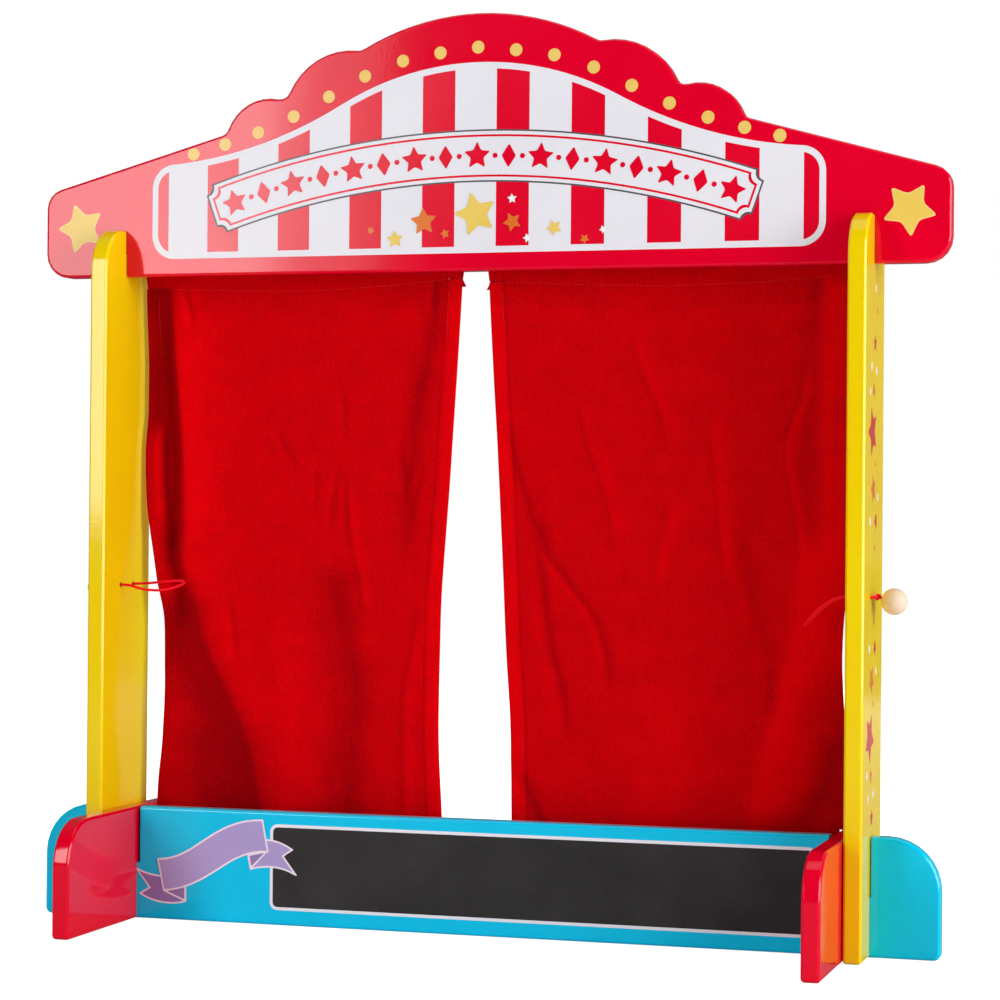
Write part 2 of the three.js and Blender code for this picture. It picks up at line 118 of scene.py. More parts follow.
def add_piece(name, mesh):
    """Puts a mesh into the scene as a new object, and chooses it."""
    piece = bpy.data.objects.new(name, mesh)
    bpy.context.collection.objects.link(piece)
    choose(piece)
    return piece


def cover(piece, material):
    """Gives a piece one material, in place of any that it has."""
    piece.data.materials.clear()
    piece.data.materials.append(material)


def face_out(merge=0.0):
    """Joins the chosen piece's points that fall together, and turns its faces outwards."""
    bpy.ops.object.mode_set(mode="EDIT")
    bpy.ops.mesh.select_all(action="SELECT")
    if merge:
        bpy.ops.mesh.remove_doubles(threshold=merge * MM)
    bpy.ops.mesh.normals_make_consistent(inside=False)
    bpy.ops.object.mode_set(mode="OBJECT")


def new_finish(name, roughness, **settings):
    """A named material with one shader, whose even values sit on the shader's own sockets."""
    material = bpy.data.materials.new(name)
    material.use_nodes = True
    shader = material.node_tree.nodes["Principled BSDF"]
    shader.inputs["Roughness"].default_value = roughness
    for word, value in settings.items():
        shader.inputs[word.replace("_", " ")].default_value = value
    return material, shader


def add_node(material, kind, links=(), **settings):
    """Adds a node, sets its values and joins its inputs: (its input, the node, that output)."""
    node = material.node_tree.nodes.new("ShaderNode" + kind)
    for word, value in settings.items():
        if hasattr(node, word):
            setattr(node, word, value)
        else:
            node.inputs[word.replace("_", " ")].default_value = value
    for to_socket, from_node, from_socket in links:
        outputs = from_node.outputs
        material.node_tree.links.new(outputs[from_socket], node.inputs[to_socket])
    return node


def join_to(material, node, socket, shader, name):
    """Joins a node's output to a socket of the shader."""
    material.node_tree.links.new(node.outputs[socket], shader.inputs[name])


def combined(material, operation, one, two):
    """The values of two nodes, each given with its output, in one."""
    return add_node(material, "Math", [(0, *one), (1, *two)], operation=operation)


def speckle(material, place, socket, scale, detail, **settings):
    """Noise on the places that a node gives."""
    links = [("Vector", place, socket)]
    return add_node(material, "TexNoise", links, Scale=scale, Detail=detail, **settings)


def blend_of(material, low, high, fac_node, fac_socket, start=0.0, stop=1.0):
    """Two colours mixed by a node's value, from one to the other between start and stop."""
    ramp = add_node(material, "ValToRGB", [("Fac", fac_node, fac_socket)])
    ramp.color_ramp.elements[0].position = start
    ramp.color_ramp.elements[1].position = stop
    ramp.color_ramp.elements[0].color = linear(low)
    ramp.color_ramp.elements[1].color = linear(high)
    return ramp


def tint(material, shader, low, high, source, start, stop):
    """Colours the surface from low to high by a node's value."""
    color = blend_of(material, low, high, *source, start, stop)
    join_to(material, color, "Color", shader, "Base Color")


def roughen(material, shader, height, strength, depth):
    """Gives the surface a fine relief, its depth in millimetres."""
    links = [("Height", *height)]
    bump = add_node(material, "Bump", links, Strength=strength, Distance=depth * MM)
    join_to(material, bump, "Normal", shader, "Normal")


def tube_along(name, points, radius, sides):
    """A round tube along points in millimetres, whose map runs along and round it."""
    bpy.ops.curve.primitive_bezier_curve_add()
    tube = bpy.context.object
    tube.name = name
    line = tube.data
    line.splines.clear()
    spline = line.splines.new("BEZIER")
    spline.bezier_points.add(len(points) - 1)
    for knot_point, place in zip(spline.bezier_points, points):
        knot_point.co = Vector(place) * MM
        knot_point.handle_left_type = "AUTO"
        knot_point.handle_right_type = "AUTO"
    spline.resolution_u = 6
    line.dimensions = "3D"
    line.bevel_depth = radius * MM
    line.bevel_resolution = sides
    line.use_fill_caps = True
    return tube


def centre_line(tube):
    """The points that a tube follows, read before it becomes a mesh."""
    bare = tube.copy()
    bare.data = tube.data.copy()
    bare.data.bevel_depth = 0
    bpy.context.collection.objects.link(bare)
    bpy.context.view_layer.update()
    line = bare.to_mesh()
    points = [v.co.copy() for v in line.vertices]
    bare.to_mesh_clear()
    bpy.data.objects.remove(bare)
    return points


def braided_elastic(name, length):
    """Red braid: strands cross in a fine diamond pattern along the cord, with painted shade in the
    grooves.
    """
    material, shader = new_finish(name, 0.75, Specular_IOR_Level=0.15)
    uv = add_node(material, "TexCoord")
    waves = []
    for turn in (1, -1):
        grid = add_node(
            material, "Mapping", [("Vector", uv, "UV")], Rotation=(0, 0, turn * radians(45)),
            Scale=(length / BRAID_PITCH, BRAID_STRANDS / 2, 1),
        )
        waves.append(add_node(
            material, "TexWave", [("Vector", grid, "Vector")], Scale=0.5, Distortion=0.2,
        ))
    crossed = combined(material, "MAXIMUM", (waves[0], "Fac"), (waves[1], "Fac"))
    # The grooves between the strands are painted darker, as shade
    tint(material, shader, CORD_SHADE, CORD_RED, (crossed, "Value"), 0.2, 0.9)
    roughen(material, shader, (crossed, "Value"), 0.5, 0.15)
    return material


cords = {}
for word, route in (("left", leftRoute), ("right", rightRoute)):
    tube = tube_along(f"elastic_{word}", route, CORD_R, 5)
    line = centre_line(tube)
    length = sum((b - a).length for a, b in zip(line, line[1:]))
    choose(tube)
    bpy.ops.object.convert(target="MESH")
    bpy.ops.object.shade_smooth()
    cover(tube, braided_elastic(f"braided_elastic_{word}", length / MM))
    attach(tube, f"{word}_tieback")
    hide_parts(f"tieback_cord_{word}")
    cords[word] = {"piece": tube, "line": line, "length": length}

BALL_X = 280
for word, side, ball in (("left", -1, (12, 227.4)), ("right", 1, (-3.5, 227.2))):
    cords[word]["side"] = side
    cords[word]["ball"] = Vector((side * BALL_X, *ball)) * MM

# Knots
# Both ends of each elastic are tied in one small round knot beside the ball, and the two tails go
# on into the ball's bore, where they are glued.
KNOT_SIZE = 0.62
KNOT_STRAND = 0.66
KNOT_STEPS = 48
BALL_R = 8.5
BORE_RISE = radians(16)
KNOT_SEAT = 10.9
TAIL_END = 2.6
TAIL_APART = 0.95
TAIL_R = 0.85

knot_red, shader = new_finish("knotted_elastic", 0.75, Specular_IOR_Level=0.15)
place = add_node(knot_red, "TexCoord")
yarn = speckle(knot_red, place, "Object", 1800, 2)
tint(knot_red, shader, CORD_SHADE, CORD_RED, (yarn, "Fac"), 0.3, 0.6)
roughen(knot_red, shader, (yarn, "Fac"), 0.6, 0.12)


def hang_at(piece, cord):
    """Puts a piece made along the ball's bore where its ball hangs."""
    along = Vector((-cord["side"] * cos(BORE_RISE), 0, sin(BORE_RISE)))
    turn = along.to_track_quat("Z", "Y").to_matrix().to_4x4()
    piece.data.transform(Matrix.Translation(cord["ball"]) @ turn)
    piece.data.update()


for word, cord in cords.items():
    loops = []
    for step in range(KNOT_STEPS + 1):
        t = 2 * pi * step / KNOT_STEPS
        ring = Vector((sin(t) + 2 * sin(2 * t), cos(t) - 2 * cos(2 * t), -sin(3 * t)))
        loops.append(ring * KNOT_SIZE + Vector((0, 0, KNOT_SEAT)))
    strands = [tube_along(f"knot_{word}", loops, KNOT_STRAND, 3)]
    for apart in (-TAIL_APART, TAIL_APART):
        tail = [(apart, 0, TAIL_END), (apart, 0, BALL_R), (apart / 2, 0, KNOT_SEAT)]
        strands.append(tube_along("tail", tail, TAIL_R, 3))
    for strand in strands:
        choose(strand)
        bpy.ops.object.convert(target="MESH")
    for strand in strands:
        strand.select_set(True)
    bpy.context.view_layer.objects.active = strands[0]
    bpy.ops.object.join()
    knot = bpy.context.object
    bpy.ops.object.shade_smooth()
    hang_at(knot, cord)
    cover(knot, knot_red)
    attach(knot, f"{word}_tieback")
    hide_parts(f"tieback_knot_{word}")
    cord["knot"] = knot

# Balls
# A plain beech ball on each elastic, turned and sanded, with no lacquer. Its bore is blind and a
# little countersunk, and faces the upright.
BORE_R = 2.4
BORE_FLOOR = -0.5
COUNTERSINK = 0.5
BALL_STEPS = 40
BEECH = (232, 208, 186)
BEECH_GRAIN = (220, 194, 164)


def turned(name, profile, steps):
    """A piece turned about its own upright axis, from its profile's radii and heights."""
    mesh = bpy.data.meshes.new(name)
    points = [(radius * MM, 0, height * MM) for radius, height in profile]
    mesh.from_pydata(points, [(i, i + 1) for i in range(len(points) - 1)], [])
    piece = add_piece(name, mesh)
    bpy.ops.object.mode_set(mode="EDIT")
    bpy.ops.mesh.select_all(action="SELECT")
    bpy.ops.mesh.spin(steps=steps, angle=2 * pi, center=(0, 0, 0), axis=(0, 0, 1))
    bpy.ops.object.mode_set(mode="OBJECT")
    face_out(0.005)
    bpy.ops.object.shade_smooth_by_angle(angle=radians(40))
    return piece


def bare_wood(name, rings_along, grain_scale):
    """Sanded beech: close growth rings, short darker flecks, and no gloss."""
    material, shader = new_finish(name, 0.5, Specular_IOR_Level=0.4)
    place = add_node(material, "TexCoord")
    grain = add_node(material, "Mapping", [("Vector", place, "Object")], Rotation=rings_along)
    rings = add_node(
        material, "TexWave", [("Vector", grain, "Vector")],
        wave_type="RINGS", rings_direction="Z", Scale=grain_scale, Distortion=2.5, Detail=2,
    )
    flecks = speckle(material, grain, "Vector", 900, 3)
    both = combined(material, "MULTIPLY", (rings, "Fac"), (flecks, "Fac"))
    tint(material, shader, BEECH, BEECH_GRAIN, (both, "Value"), 0.1, 0.75)
    roughen(material, shader, (both, "Value"), 0.25, 0.1)
    return material


ball_wood = bare_wood("sanded_beech_ball", (radians(80), radians(12), 0), 160)
mouth = asin((BORE_R + COUNTERSINK) / BALL_R)
ball_profile = [(0, BORE_FLOOR), (BORE_R, BORE_FLOOR), (BORE_R, BALL_R * cos(mouth) - COUNTERSINK)]
for step in range(BALL_STEPS + 1):
    angle = mouth + (pi - mouth) * step / BALL_STEPS
    ball_profile.append((BALL_R * sin(angle), BALL_R * cos(angle)))
for word, cord in cords.items():
    ball = turned(f"wooden_ball_{word}", ball_profile, 64)
    hang_at(ball, cord)
    ball.data.materials.append(ball_wood)
    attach(ball, f"{word}_tieback")
    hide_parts(f"tieback_ball_{word}")

# Front board
# A long low board of painted fibreboard. It stands on edge and is slotted from above near each
# end. Its front has a writing panel with a printed frame, and a printed ribbon.
BLUE = (0, 200, 242)
BLUE_SHADE = (0, 192, 234)
PEEL_MM = 1.6
EDGE_SOFT = 0.55
BOARD_FACE = 6
PRINT_THICK = 0.05
PRINT_PITCH = 0.07
PRINT_START = 0.02


def gloss_paint(name, color, shade, roughness=0.08, gloss=0.4):
    """Sprayed gloss paint: a faint drift in its depth, and the fine orange peel of a spray gun."""
    material, shader = new_finish(name, roughness, Specular_IOR_Level=gloss)
    place = add_node(material, "TexCoord")
    drift = speckle(material, place, "Object", 14, 4)
    tint(material, shader, shade, color, (drift, "Fac"), 0.35, 0.65)
    worn = add_node(
        material, "MapRange", [("Value", drift, "Fac")], From_Min=0.3, From_Max=0.7,
        To_Min=roughness * 0.8, To_Max=roughness * 1.3,
    )
    join_to(material, worn, "Result", shader, "Roughness")
    peel = speckle(material, place, "Object", 1 / (PEEL_MM * MM), 1)
    swell = speckle(material, place, "Object", 70, 2)
    both = combined(material, "ADD", (peel, "Fac"), (swell, "Fac"))
    roughen(material, shader, (both, "Value"), 0.16, 0.12)
    return material


def painted_board(name, node, body, paint):
    """The board itself with its edges rounded over, as sanded board is under thick paint."""
    piece = add_piece(name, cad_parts[node].data.copy())
    bpy.ops.object.mode_set(mode="EDIT")
    bpy.ops.mesh.select_all(action="SELECT")
    bpy.ops.mesh.remove_doubles(threshold=0.01 * MM)
    bpy.ops.mesh.dissolve_limited(angle_limit=radians(0.5))
    bpy.ops.object.mode_set(mode="OBJECT")
    bpy.ops.object.modifier_add(type="BEVEL")
    bevel = piece.modifiers[-1]
    bevel.width = EDGE_SOFT * MM
    bevel.segments = 3
    bevel.limit_method = "ANGLE"
    bevel.angle_limit = radians(25)
    bevel.use_clamp_overlap = True
    bpy.ops.object.modifier_add(type="WEIGHTED_NORMAL")
    piece.modifiers[-1].keep_sharp = True
    bpy.ops.object.shade_smooth()
    for modifier in list(piece.modifiers):
        bpy.ops.object.modifier_apply(modifier=modifier.name)
    cover(piece, paint)
    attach(piece, body)
    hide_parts(node)
    return piece


def face_across(height=0.0):
    """The front face of a board that lies across the stage, measured from its lower edge."""
    return Matrix((
        (1, 0, 0, 0), (0, 0, -1, -BOARD_FACE * MM), (0, 1, 0, height * MM), (0, 0, 0, 1),
    ))


def flat_print(name, outlines, face, level, paint, body):
    """A thin coat of printed paint on a board's face, from closed outlines in millimetres."""
    bpy.ops.curve.primitive_bezier_circle_add()
    piece = bpy.context.object
    piece.name = name
    line = piece.data
    line.splines.clear()
    for outline in outlines:
        spline = line.splines.new("POLY")
        spline.points.add(len(outline) - 1)
        for point, (x, y) in zip(spline.points, outline):
            point.co = (x * MM, y * MM, 0, 1)
        spline.use_cyclic_u = True
    line.dimensions = "2D"
    line.fill_mode = "BOTH"
    line.extrude = PRINT_THICK / 2 * MM
    choose(piece)
    bpy.ops.object.convert(target="MESH")
    face_out(0.002)
    height = PRINT_START + (level - 1) * PRINT_PITCH + PRINT_THICK / 2
    piece.data.transform(face @ Matrix.Translation((0, 0, height * MM)))
    cover(piece, paint)
    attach(piece, body)
    return piece


def arc(centre, radius, start, stop, steps):
    """Points round an arc, with angles in degrees."""
    turns = [radians(start + (stop - start) * i / steps) for i in range(steps + 1)]
    return [(centre[0] + radius * cos(t), centre[1] + radius * sin(t)) for t in turns]


def rounded_box(left, right, low, high, radius, steps=6):
    points = []
    for centre, start in (
        ((right - radius, low + radius), -90), ((right - radius, high - radius), 0),
        ((left + radius, high - radius), 90), ((left + radius, low + radius), 180),
    ):
        points += arc(centre, radius, start, start + 90, steps)
    return points


def grown(outline, by):
    """An outline moved outwards by a distance, or inwards where it is negative."""
    area = sum(a[0] * b[1] - b[0] * a[1] for a, b in zip(outline, outline[1:] + outline[:1]))
    turn = 1 if area > 0 else -1
    moved = []
    for before, here, after in zip(outline[-1:] + outline[:-1], outline, outline[1:] + outline[:1]):
        one = Vector((here[0] - before[0], here[1] - before[1])).normalized()
        two = Vector((after[0] - here[0], after[1] - here[1])).normalized()
        out = Vector((one.y + two.y, -one.x - two.x)) * turn
        share = max(0.35, out.length / 2)
        move = out.normalized() * by / share
        moved.append((here[0] + move.x, here[1] + move.y))
    return moved


def eased(outline, cut, steps=4):
    """An outline whose corners are rounded, starting at most a cut away from each corner."""
    points = []
    for before, here, after in zip(outline[-1:] + outline[:-1], outline, outline[1:] + outline[:1]):
        here = Vector(here)
        ends = []
        for other in (before, after):
            way = Vector(other) - here
            ends.append(here + way * min(cut / way.length, 0.45))
        for i in range(steps + 1):
            t = i / steps
            spot = ends[0] * (1 - t) ** 2 + here * 2 * t * (1 - t) + ends[1] * t ** 2
            points.append((spot.x, spot.y))
    return points


def swept(points, steps=8):
    """A smooth curve through four points: it starts and ends on the first and the last."""
    a, b, c, d = (Vector(p) for p in points)
    curve = []
    for i in range(steps + 1):
        t = i / steps
        spot = a * (1 - t) ** 3 + b * 3 * t * (1 - t) ** 2 + c * 3 * t ** 2 * (1 - t) + d * t ** 3
        curve.append((spot.x, spot.y))
    return curve


blue_paint = gloss_paint("blue_gloss_paint", BLUE, BLUE_SHADE)
painted_board("blue_front_board", "front_board", "base", blue_paint)

CHALK_LEFT = -141.2
CHALK_RIGHT = 229.6
CHALK_LOW = 12.5
CHALK_HIGH = 66.6
CHALK_CORNER = 3.2
FRAME_WIDTH = 2.1
frame_white = gloss_paint("printed_white", (236, 236, 244), (230, 231, 240), 0.2)
chalk_black, shader = new_finish("chalkboard_paint", 0.42, Specular_IOR_Level=0.3)
place = add_node(chalk_black, "TexCoord")
dust = speckle(chalk_black, place, "Object", 26, 8)
grit = speckle(chalk_black, place, "Object", 1500, 2)
mottle = combined(chalk_black, "MULTIPLY", (dust, "Fac"), (grit, "Fac"))
tint(chalk_black, shader, (38, 36, 37), (52, 50, 51), (mottle, "Value"), 0.15, 0.4)
roughen(chalk_black, shader, (grit, "Fac"), 0.3, 0.1)

across = face_across()
panel = rounded_box(CHALK_LEFT, CHALK_RIGHT, CHALK_LOW, CHALK_HIGH, CHALK_CORNER)
flat_print(
    "writing_panel_frame", [grown(panel, FRAME_WIDTH)], across, 1, frame_white, "base",
)
flat_print("writing_panel", [panel], across, 2, chalk_black, "base")

RIBBON_EDGE = 0.6
band = [
    *swept([(-225.8, 41.4), (-198, 41.6), (-186, 70.6), (-149, 71)], 16),
    *swept([(-144.9, 49.8), (-175, 50.4), (-186, 23.5), (-221.3, 20.1)], 16),
]
left_tail = [
    *swept([(-242, 34.1), (-237, 31.6), (-231, 30.2), (-223.5, 29.6)], 6),
    (-221.3, 20.1), (-205.4, 24), (-205.1, 13.4),
    *swept([(-205.6, 13.2), (-214, 10.6), (-228, 10.6), (-238.9, 17.1)], 8),
    (-231.8, 21.5),
]
left_fold = [(-220.6, 19.6), (-205.6, 24.2), (-205.3, 13.6)]
right_tail = [
    *swept([(-146, 57.6), (-140, 57.8), (-134, 55.8), (-127.3, 51.8)], 6),
    (-134.2, 47.2), (-124.8, 35.1),
    *swept([(-125.4, 35.2), (-134, 40), (-146, 41), (-157.4, 37.5)], 8),
    (-159.3, 46.5),
]
right_fold = [(-158.9, 46.8), (-146, 49.6), (-157.2, 38)]
ribbon_white = gloss_paint("ribbon_outline_white", (238, 228, 240), (233, 223, 236), 0.2, 0.2)
lilac = gloss_paint("ribbon_lilac", (172, 158, 210), (166, 150, 204), 0.2, 0.2)
deep_lilac = gloss_paint("ribbon_deep_lilac", (150, 124, 180), (144, 116, 174), 0.2, 0.2)
ribbon_layers = (
    ("ribbon_tails_outline", [left_tail, right_tail], 3, ribbon_white, RIBBON_EDGE),
    ("ribbon_left_tail", [left_tail], 4, deep_lilac, -RIBBON_EDGE),
    ("ribbon_right_tail", [right_tail], 4, lilac, -RIBBON_EDGE),
    ("ribbon_folds_outline", [left_fold, right_fold], 5, ribbon_white, RIBBON_EDGE),
    ("ribbon_folds", [left_fold, right_fold], 6, deep_lilac, -RIBBON_EDGE),
    ("ribbon_band_outline", [band], 7, ribbon_white, RIBBON_EDGE),
    ("ribbon_band", [band], 8, lilac, -RIBBON_EDGE),
)
for name, shapes, level, paint, by in ribbon_layers:
    outlines = [eased(grown(shape, by), 0.7, 3) for shape in shapes]
    flat_print(name, outlines, across, level, paint, "base")

# Feet
# Two short boards from front to back, slotted from below over the front board, just inside the
# uprights. They are painted a slightly deeper red than the header.
foot_red = gloss_paint("foot_red_gloss_paint", (230, 1, 42), (220, 1, 38))
for word in ("left", "right"):
    painted_board(f"red_foot_{word}", f"foot_{word}", "base", foot_red)

# Uprights
# Two tall boards from front to back, slotted below for the front board and above for the header.
# Stars of three colours are printed in a loose column on their outer faces.
YELLOW = (239, 208, 8)
UPRIGHT_FACE = 266
yellow_paint = gloss_paint("yellow_gloss_paint", YELLOW, (237, 202, 6))


def star(centre, radius, turn=0.0, waist=0.5, soft=0.1):
    """A five-pointed star whose points are a little rounded."""
    points = []
    for i in range(10):
        reach = radius if i % 2 == 0 else radius * waist
        angle = radians(90 + turn + 36 * i)
        points.append((centre[0] + reach * cos(angle), centre[1] + reach * sin(angle)))
    return eased(points, radius * soft, 3)


star_white = gloss_paint("printed_star_white", (246, 246, 248), (240, 240, 244), 0.2)
star_orange = gloss_paint("printed_star_orange", (226, 122, 40), (220, 112, 36), 0.2)
star_red = gloss_paint("printed_star_red", (206, 62, 58), (200, 54, 54), 0.2)
white_stars = [
    (2, 427.7, 3.5), (-13, 376.9, 3.5), (7, 374.9, 3.5), (-18, 360.7, 3.5), (15, 293.6, 3.5),
    (-15, 277.9, 3.5), (-15, 197.1, 3.5), (13, 181.9, 3.5), (-20.5, 116.8, 3.5),
    (5, 103.6, 3.5), (-15, 101.6, 3.5),
]
orange_stars = [
    (9, 413.5, 2.7), (4, 315, 2.7), (3, 261.1, 2.7), (2, 213.4, 2.7), (2.5, 161.5, 2.7),
    (-3.5, 361.7, 6), (-5.6, 115.8, 6), (-4, 298.7, 10), (-5, 176.8, 10),
]
red_stars = [
    (0, 392.2, 6), (7, 278.4, 6), (7, 197.1, 6), (-1, 88.4, 6), (-8, 335.3, 17), (-11, 140.2, 17),
]
for word, side in (("left", -1), ("right", 1)):
    painted_board(f"yellow_upright_{word}", f"upright_{word}", "frame", yellow_paint)
    outer = Matrix((
        (0, 0, side, side * UPRIGHT_FACE * MM), (side, 0, 0, 0), (0, 1, 0, 0), (0, 0, 0, 1),
    ))
    for label, places, paint in (
        ("white", white_stars, star_white), ("orange", orange_stars, star_orange),
        ("red", red_stars, star_red),
    ):
        shapes = [
            star((side * y, z), radius, 23 * i) for i, (y, z, radius) in enumerate(places)
        ]
        flat_print(
            f"{label}_stars_{word}", shapes, outer, 1, paint, "frame",
        )

# Header board
# An arched board with scalloped shoulders, notched from below to drop into the uprights. Its
# front is printed: a striped panel, a row of painted bulbs over it, a star at each end.
HEADER_BOTTOM = 443
PANEL_HALF = 234.5
PANEL_LOW = 11.8
PANEL_CORNER = 16.5
PANEL_TOP = 139
PANEL_ARCH_R = 198
PANEL_TURN = 96
PANEL_SHOULDER = 76.9
SHOULDER_SLOPE = -0.08
PANEL_BORDER = 4.3
END_CUT = 0.01
STRIPE_HALF = 11.35
STRIPE_PITCH = 51.7
STRIPE_SHIFT = -1.2
red_paint = gloss_paint("header_red_gloss_paint", (228, 0, 42), (223, 0, 40))
panel_white = gloss_paint("panel_white", (231, 229, 236), (228, 226, 234), 0.2, 0.15)
stripe_red = gloss_paint("stripe_red", (228, 0, 42), (223, 0, 40), 0.14)
bulb_amber = gloss_paint("bulb_amber", (236, 200, 108), (233, 194, 98), 0.2, 0.3)
painted_board("red_header_board", "header_board", "header", red_paint)
header_face = face_across(HEADER_BOTTOM)


def header_print(name, outlines, level, paint):
    """A print on the header's front face."""
    flat_print(name, outlines, header_face, level, paint, "header")


def panel_top(x):
    """Height and slope of the panel's top edge: an arc, then a sweep out to the shoulder."""
    x = abs(x)
    if x <= PANEL_TURN:
        drop = sqrt(PANEL_ARCH_R ** 2 - x * x)
        return PANEL_TOP - PANEL_ARCH_R + drop, -x / drop
    start, slope = panel_top(PANEL_TURN)
    span = PANEL_HALF - PANEL_CORNER - PANEL_TURN
    t = min((x - PANEL_TURN) / span, 1)
    rise = (
        start * (2 * t ** 3 - 3 * t ** 2 + 1) + slope * span * (t ** 3 - 2 * t ** 2 + t)
        + PANEL_SHOULDER * (3 * t ** 2 - 2 * t ** 3) + SHOULDER_SLOPE * span * (t ** 3 - t ** 2)
    )
    return rise, slope * (1 - t) + SHOULDER_SLOPE * t


def inside_top(x, inset):
    """Top edge of the panel's field, with the panel's rounded corner at the end."""
    past = abs(x) - (PANEL_HALF - PANEL_CORNER)
    if past > 0:
        radius = PANEL_CORNER - inset
        return PANEL_SHOULDER - PANEL_CORNER + sqrt(max(radius ** 2 - past ** 2, 0))
    height, slope = panel_top(x)
    return height - inset * hypot(1, slope)


def inside_low(x, inset):
    past = abs(x) - (PANEL_HALF - PANEL_CORNER)
    radius = PANEL_CORNER - inset
    if past > 0:
        return PANEL_LOW + PANEL_CORNER - sqrt(max(radius ** 2 - past ** 2, 0))
    return PANEL_LOW + inset


def panel_strip(left, right, inset, steps):
    """The part of the panel between two sides, drawn in, with close points at its ends."""
    places = [left + (right - left) * (1 - cos(pi * i / steps)) / 2 for i in range(steps + 1)]
    low = [(x, inside_low(x, inset)) for x in places]
    high = [(x, inside_top(x, inset)) for x in reversed(places)]
    return low + high


whole = PANEL_HALF - END_CUT
header_print("striped_panel_white", [panel_strip(-whole, whole, 0, 120)], 1, panel_white)
field = whole - PANEL_BORDER
stripes = []
for i in range(-9, 10, 2):
    middle = STRIPE_SHIFT + i * STRIPE_PITCH / 2
    left = max(middle - STRIPE_HALF, -field)
    right = min(middle + STRIPE_HALF, field)
    stripes.append(panel_strip(left, right, PANEL_BORDER, 16))
header_print("panel_stripes", stripes, 2, stripe_red)

BULB_R = 4.3
bulbs = [
    (0, 149), (26.4, 146.2), (52.8, 141.8), (79.7, 132.6), (105.6, 119.6), (131, 107.1),
    (156.8, 97), (181, 89.6), (204.2, 83.6),
]
bulbs += [(-x, z) for x, z in bulbs[1:]]
circles = [arc(place, BULB_R, 0, 348, 29) for place in bulbs]
header_print("painted_bulbs", circles, 1, bulb_amber)

END_STAR = (288, 34.3)
END_STAR_R = 18.5
RIM = 1.6
star_gold = gloss_paint("star_gold", (236, 204, 98), (232, 198, 90), 0.2, 0.3)
star_rim = gloss_paint("star_gold_rim", (240, 216, 138), (237, 211, 130), 0.2, 0.3)
for name, size, level, paint in (
    ("end_star_rims", END_STAR_R, 1, star_rim), ("end_stars", END_STAR_R - RIM, 2, star_gold),
):
    shapes = [
        star((side * END_STAR[0], END_STAR[1]), size, turn, 0.52, 0.16)
        for side, turn in ((-1, 18), (1, -32))
    ]
    header_print(name, shapes, level, paint)

scatter_gold = [(-57.4, 21.9, 6.2), (-0.7, 37.6, 15.3), (53.6, 27.5, 5.6)]
scatter_orange = [
    (-37.2, 33.4, 9.7), (-22, 25, 3.5), (24.7, 31.9, 6.7), (74.5, 19.6, 3.4), (-74.6, 28.2, 3),
]
scatter_white = [(24.5, 47.4, 3.5), (35.3, 20.9, 3.3), (87.2, 25.6, 3)]
for label, places, paint in (
    ("gold", scatter_gold, star_gold), ("orange", scatter_orange, star_orange),
    ("white", scatter_white, star_white),
):
    shapes = [star((x, z), radius, 11 * i + 4) for i, (x, z, radius) in enumerate(places)]
    header_print(f"panel_{label}_stars", shapes, 6, paint)

PLAQUE_R = 571
PLAQUE_MIDDLE = 76.5
PLAQUE_HALF = 194
PLAQUE_DEEP = 17.5
PLAQUE_EDGE = 1.1
PLAQUE_LINE = (3.4, 4.8)
PLAQUE_DENT = 6
PLAQUE_STEPS = 40
plaque_grey = gloss_paint("plaque_outline_grey", (84, 82, 88), (76, 74, 80), 0.25)


def on_plaque(across, up):
    """A place on the arched plaque, from its middle line."""
    angle = across / PLAQUE_R
    return (
        (PLAQUE_R + up) * sin(angle),
        PLAQUE_MIDDLE - PLAQUE_R + (PLAQUE_R + up) * cos(angle),
    )


def plaque_band(inset):
    """The plaque's outline, drawn in, with a dent of a quarter ring at each of its corners."""
    half = PLAQUE_HALF - inset
    deep = PLAQUE_DEEP - inset
    edge = []
    for side in (1, -1):
        for i in range(PLAQUE_STEPS + 1):
            reach = (half - PLAQUE_DENT) * (1 - 2 * i / PLAQUE_STEPS)
            edge.append(on_plaque(side * reach, side * deep))
        for up in (1, -1):
            for k in range(7):
                turn = radians(180 - 90 * side - 45 * (1 + up) - 15 * k)
                across, rise = PLAQUE_DENT * cos(turn), PLAQUE_DENT * sin(turn)
                edge.append(on_plaque(across - side * half, rise + side * up * deep))
    return edge


header_print("plaque_outline", [plaque_band(0)], 3, plaque_grey)
header_print("plaque_field", [plaque_band(PLAQUE_EDGE)], 4, panel_white)
header_print("plaque_line", [plaque_band(inset) for inset in PLAQUE_LINE], 5, stripe_red)

MOTIF_PITCH = 44
ornaments = []
for i in range(-4, 5):
    middle = i * MOTIF_PITCH
    slant = -degrees(middle / PLAQUE_R)
    ornaments.append(star(on_plaque(middle, 0), 9.6, slant, 0.48, 0.12))
for i in range(-4, 4):
    middle = (i + 0.5) * MOTIF_PITCH
    corners = [on_plaque(middle + a, b) for a, b in ((0, 8), (-5, 0), (0, -8), (5, 0))]
    ornaments.append(eased(corners, 1.2, 3))
    for a in (-9.5, 9.5):
        ornaments.append(arc(on_plaque(middle + a, 0), 1.8, 0, 330, 11))
header_print("plaque_ornaments", ornaments, 6, stripe_red)

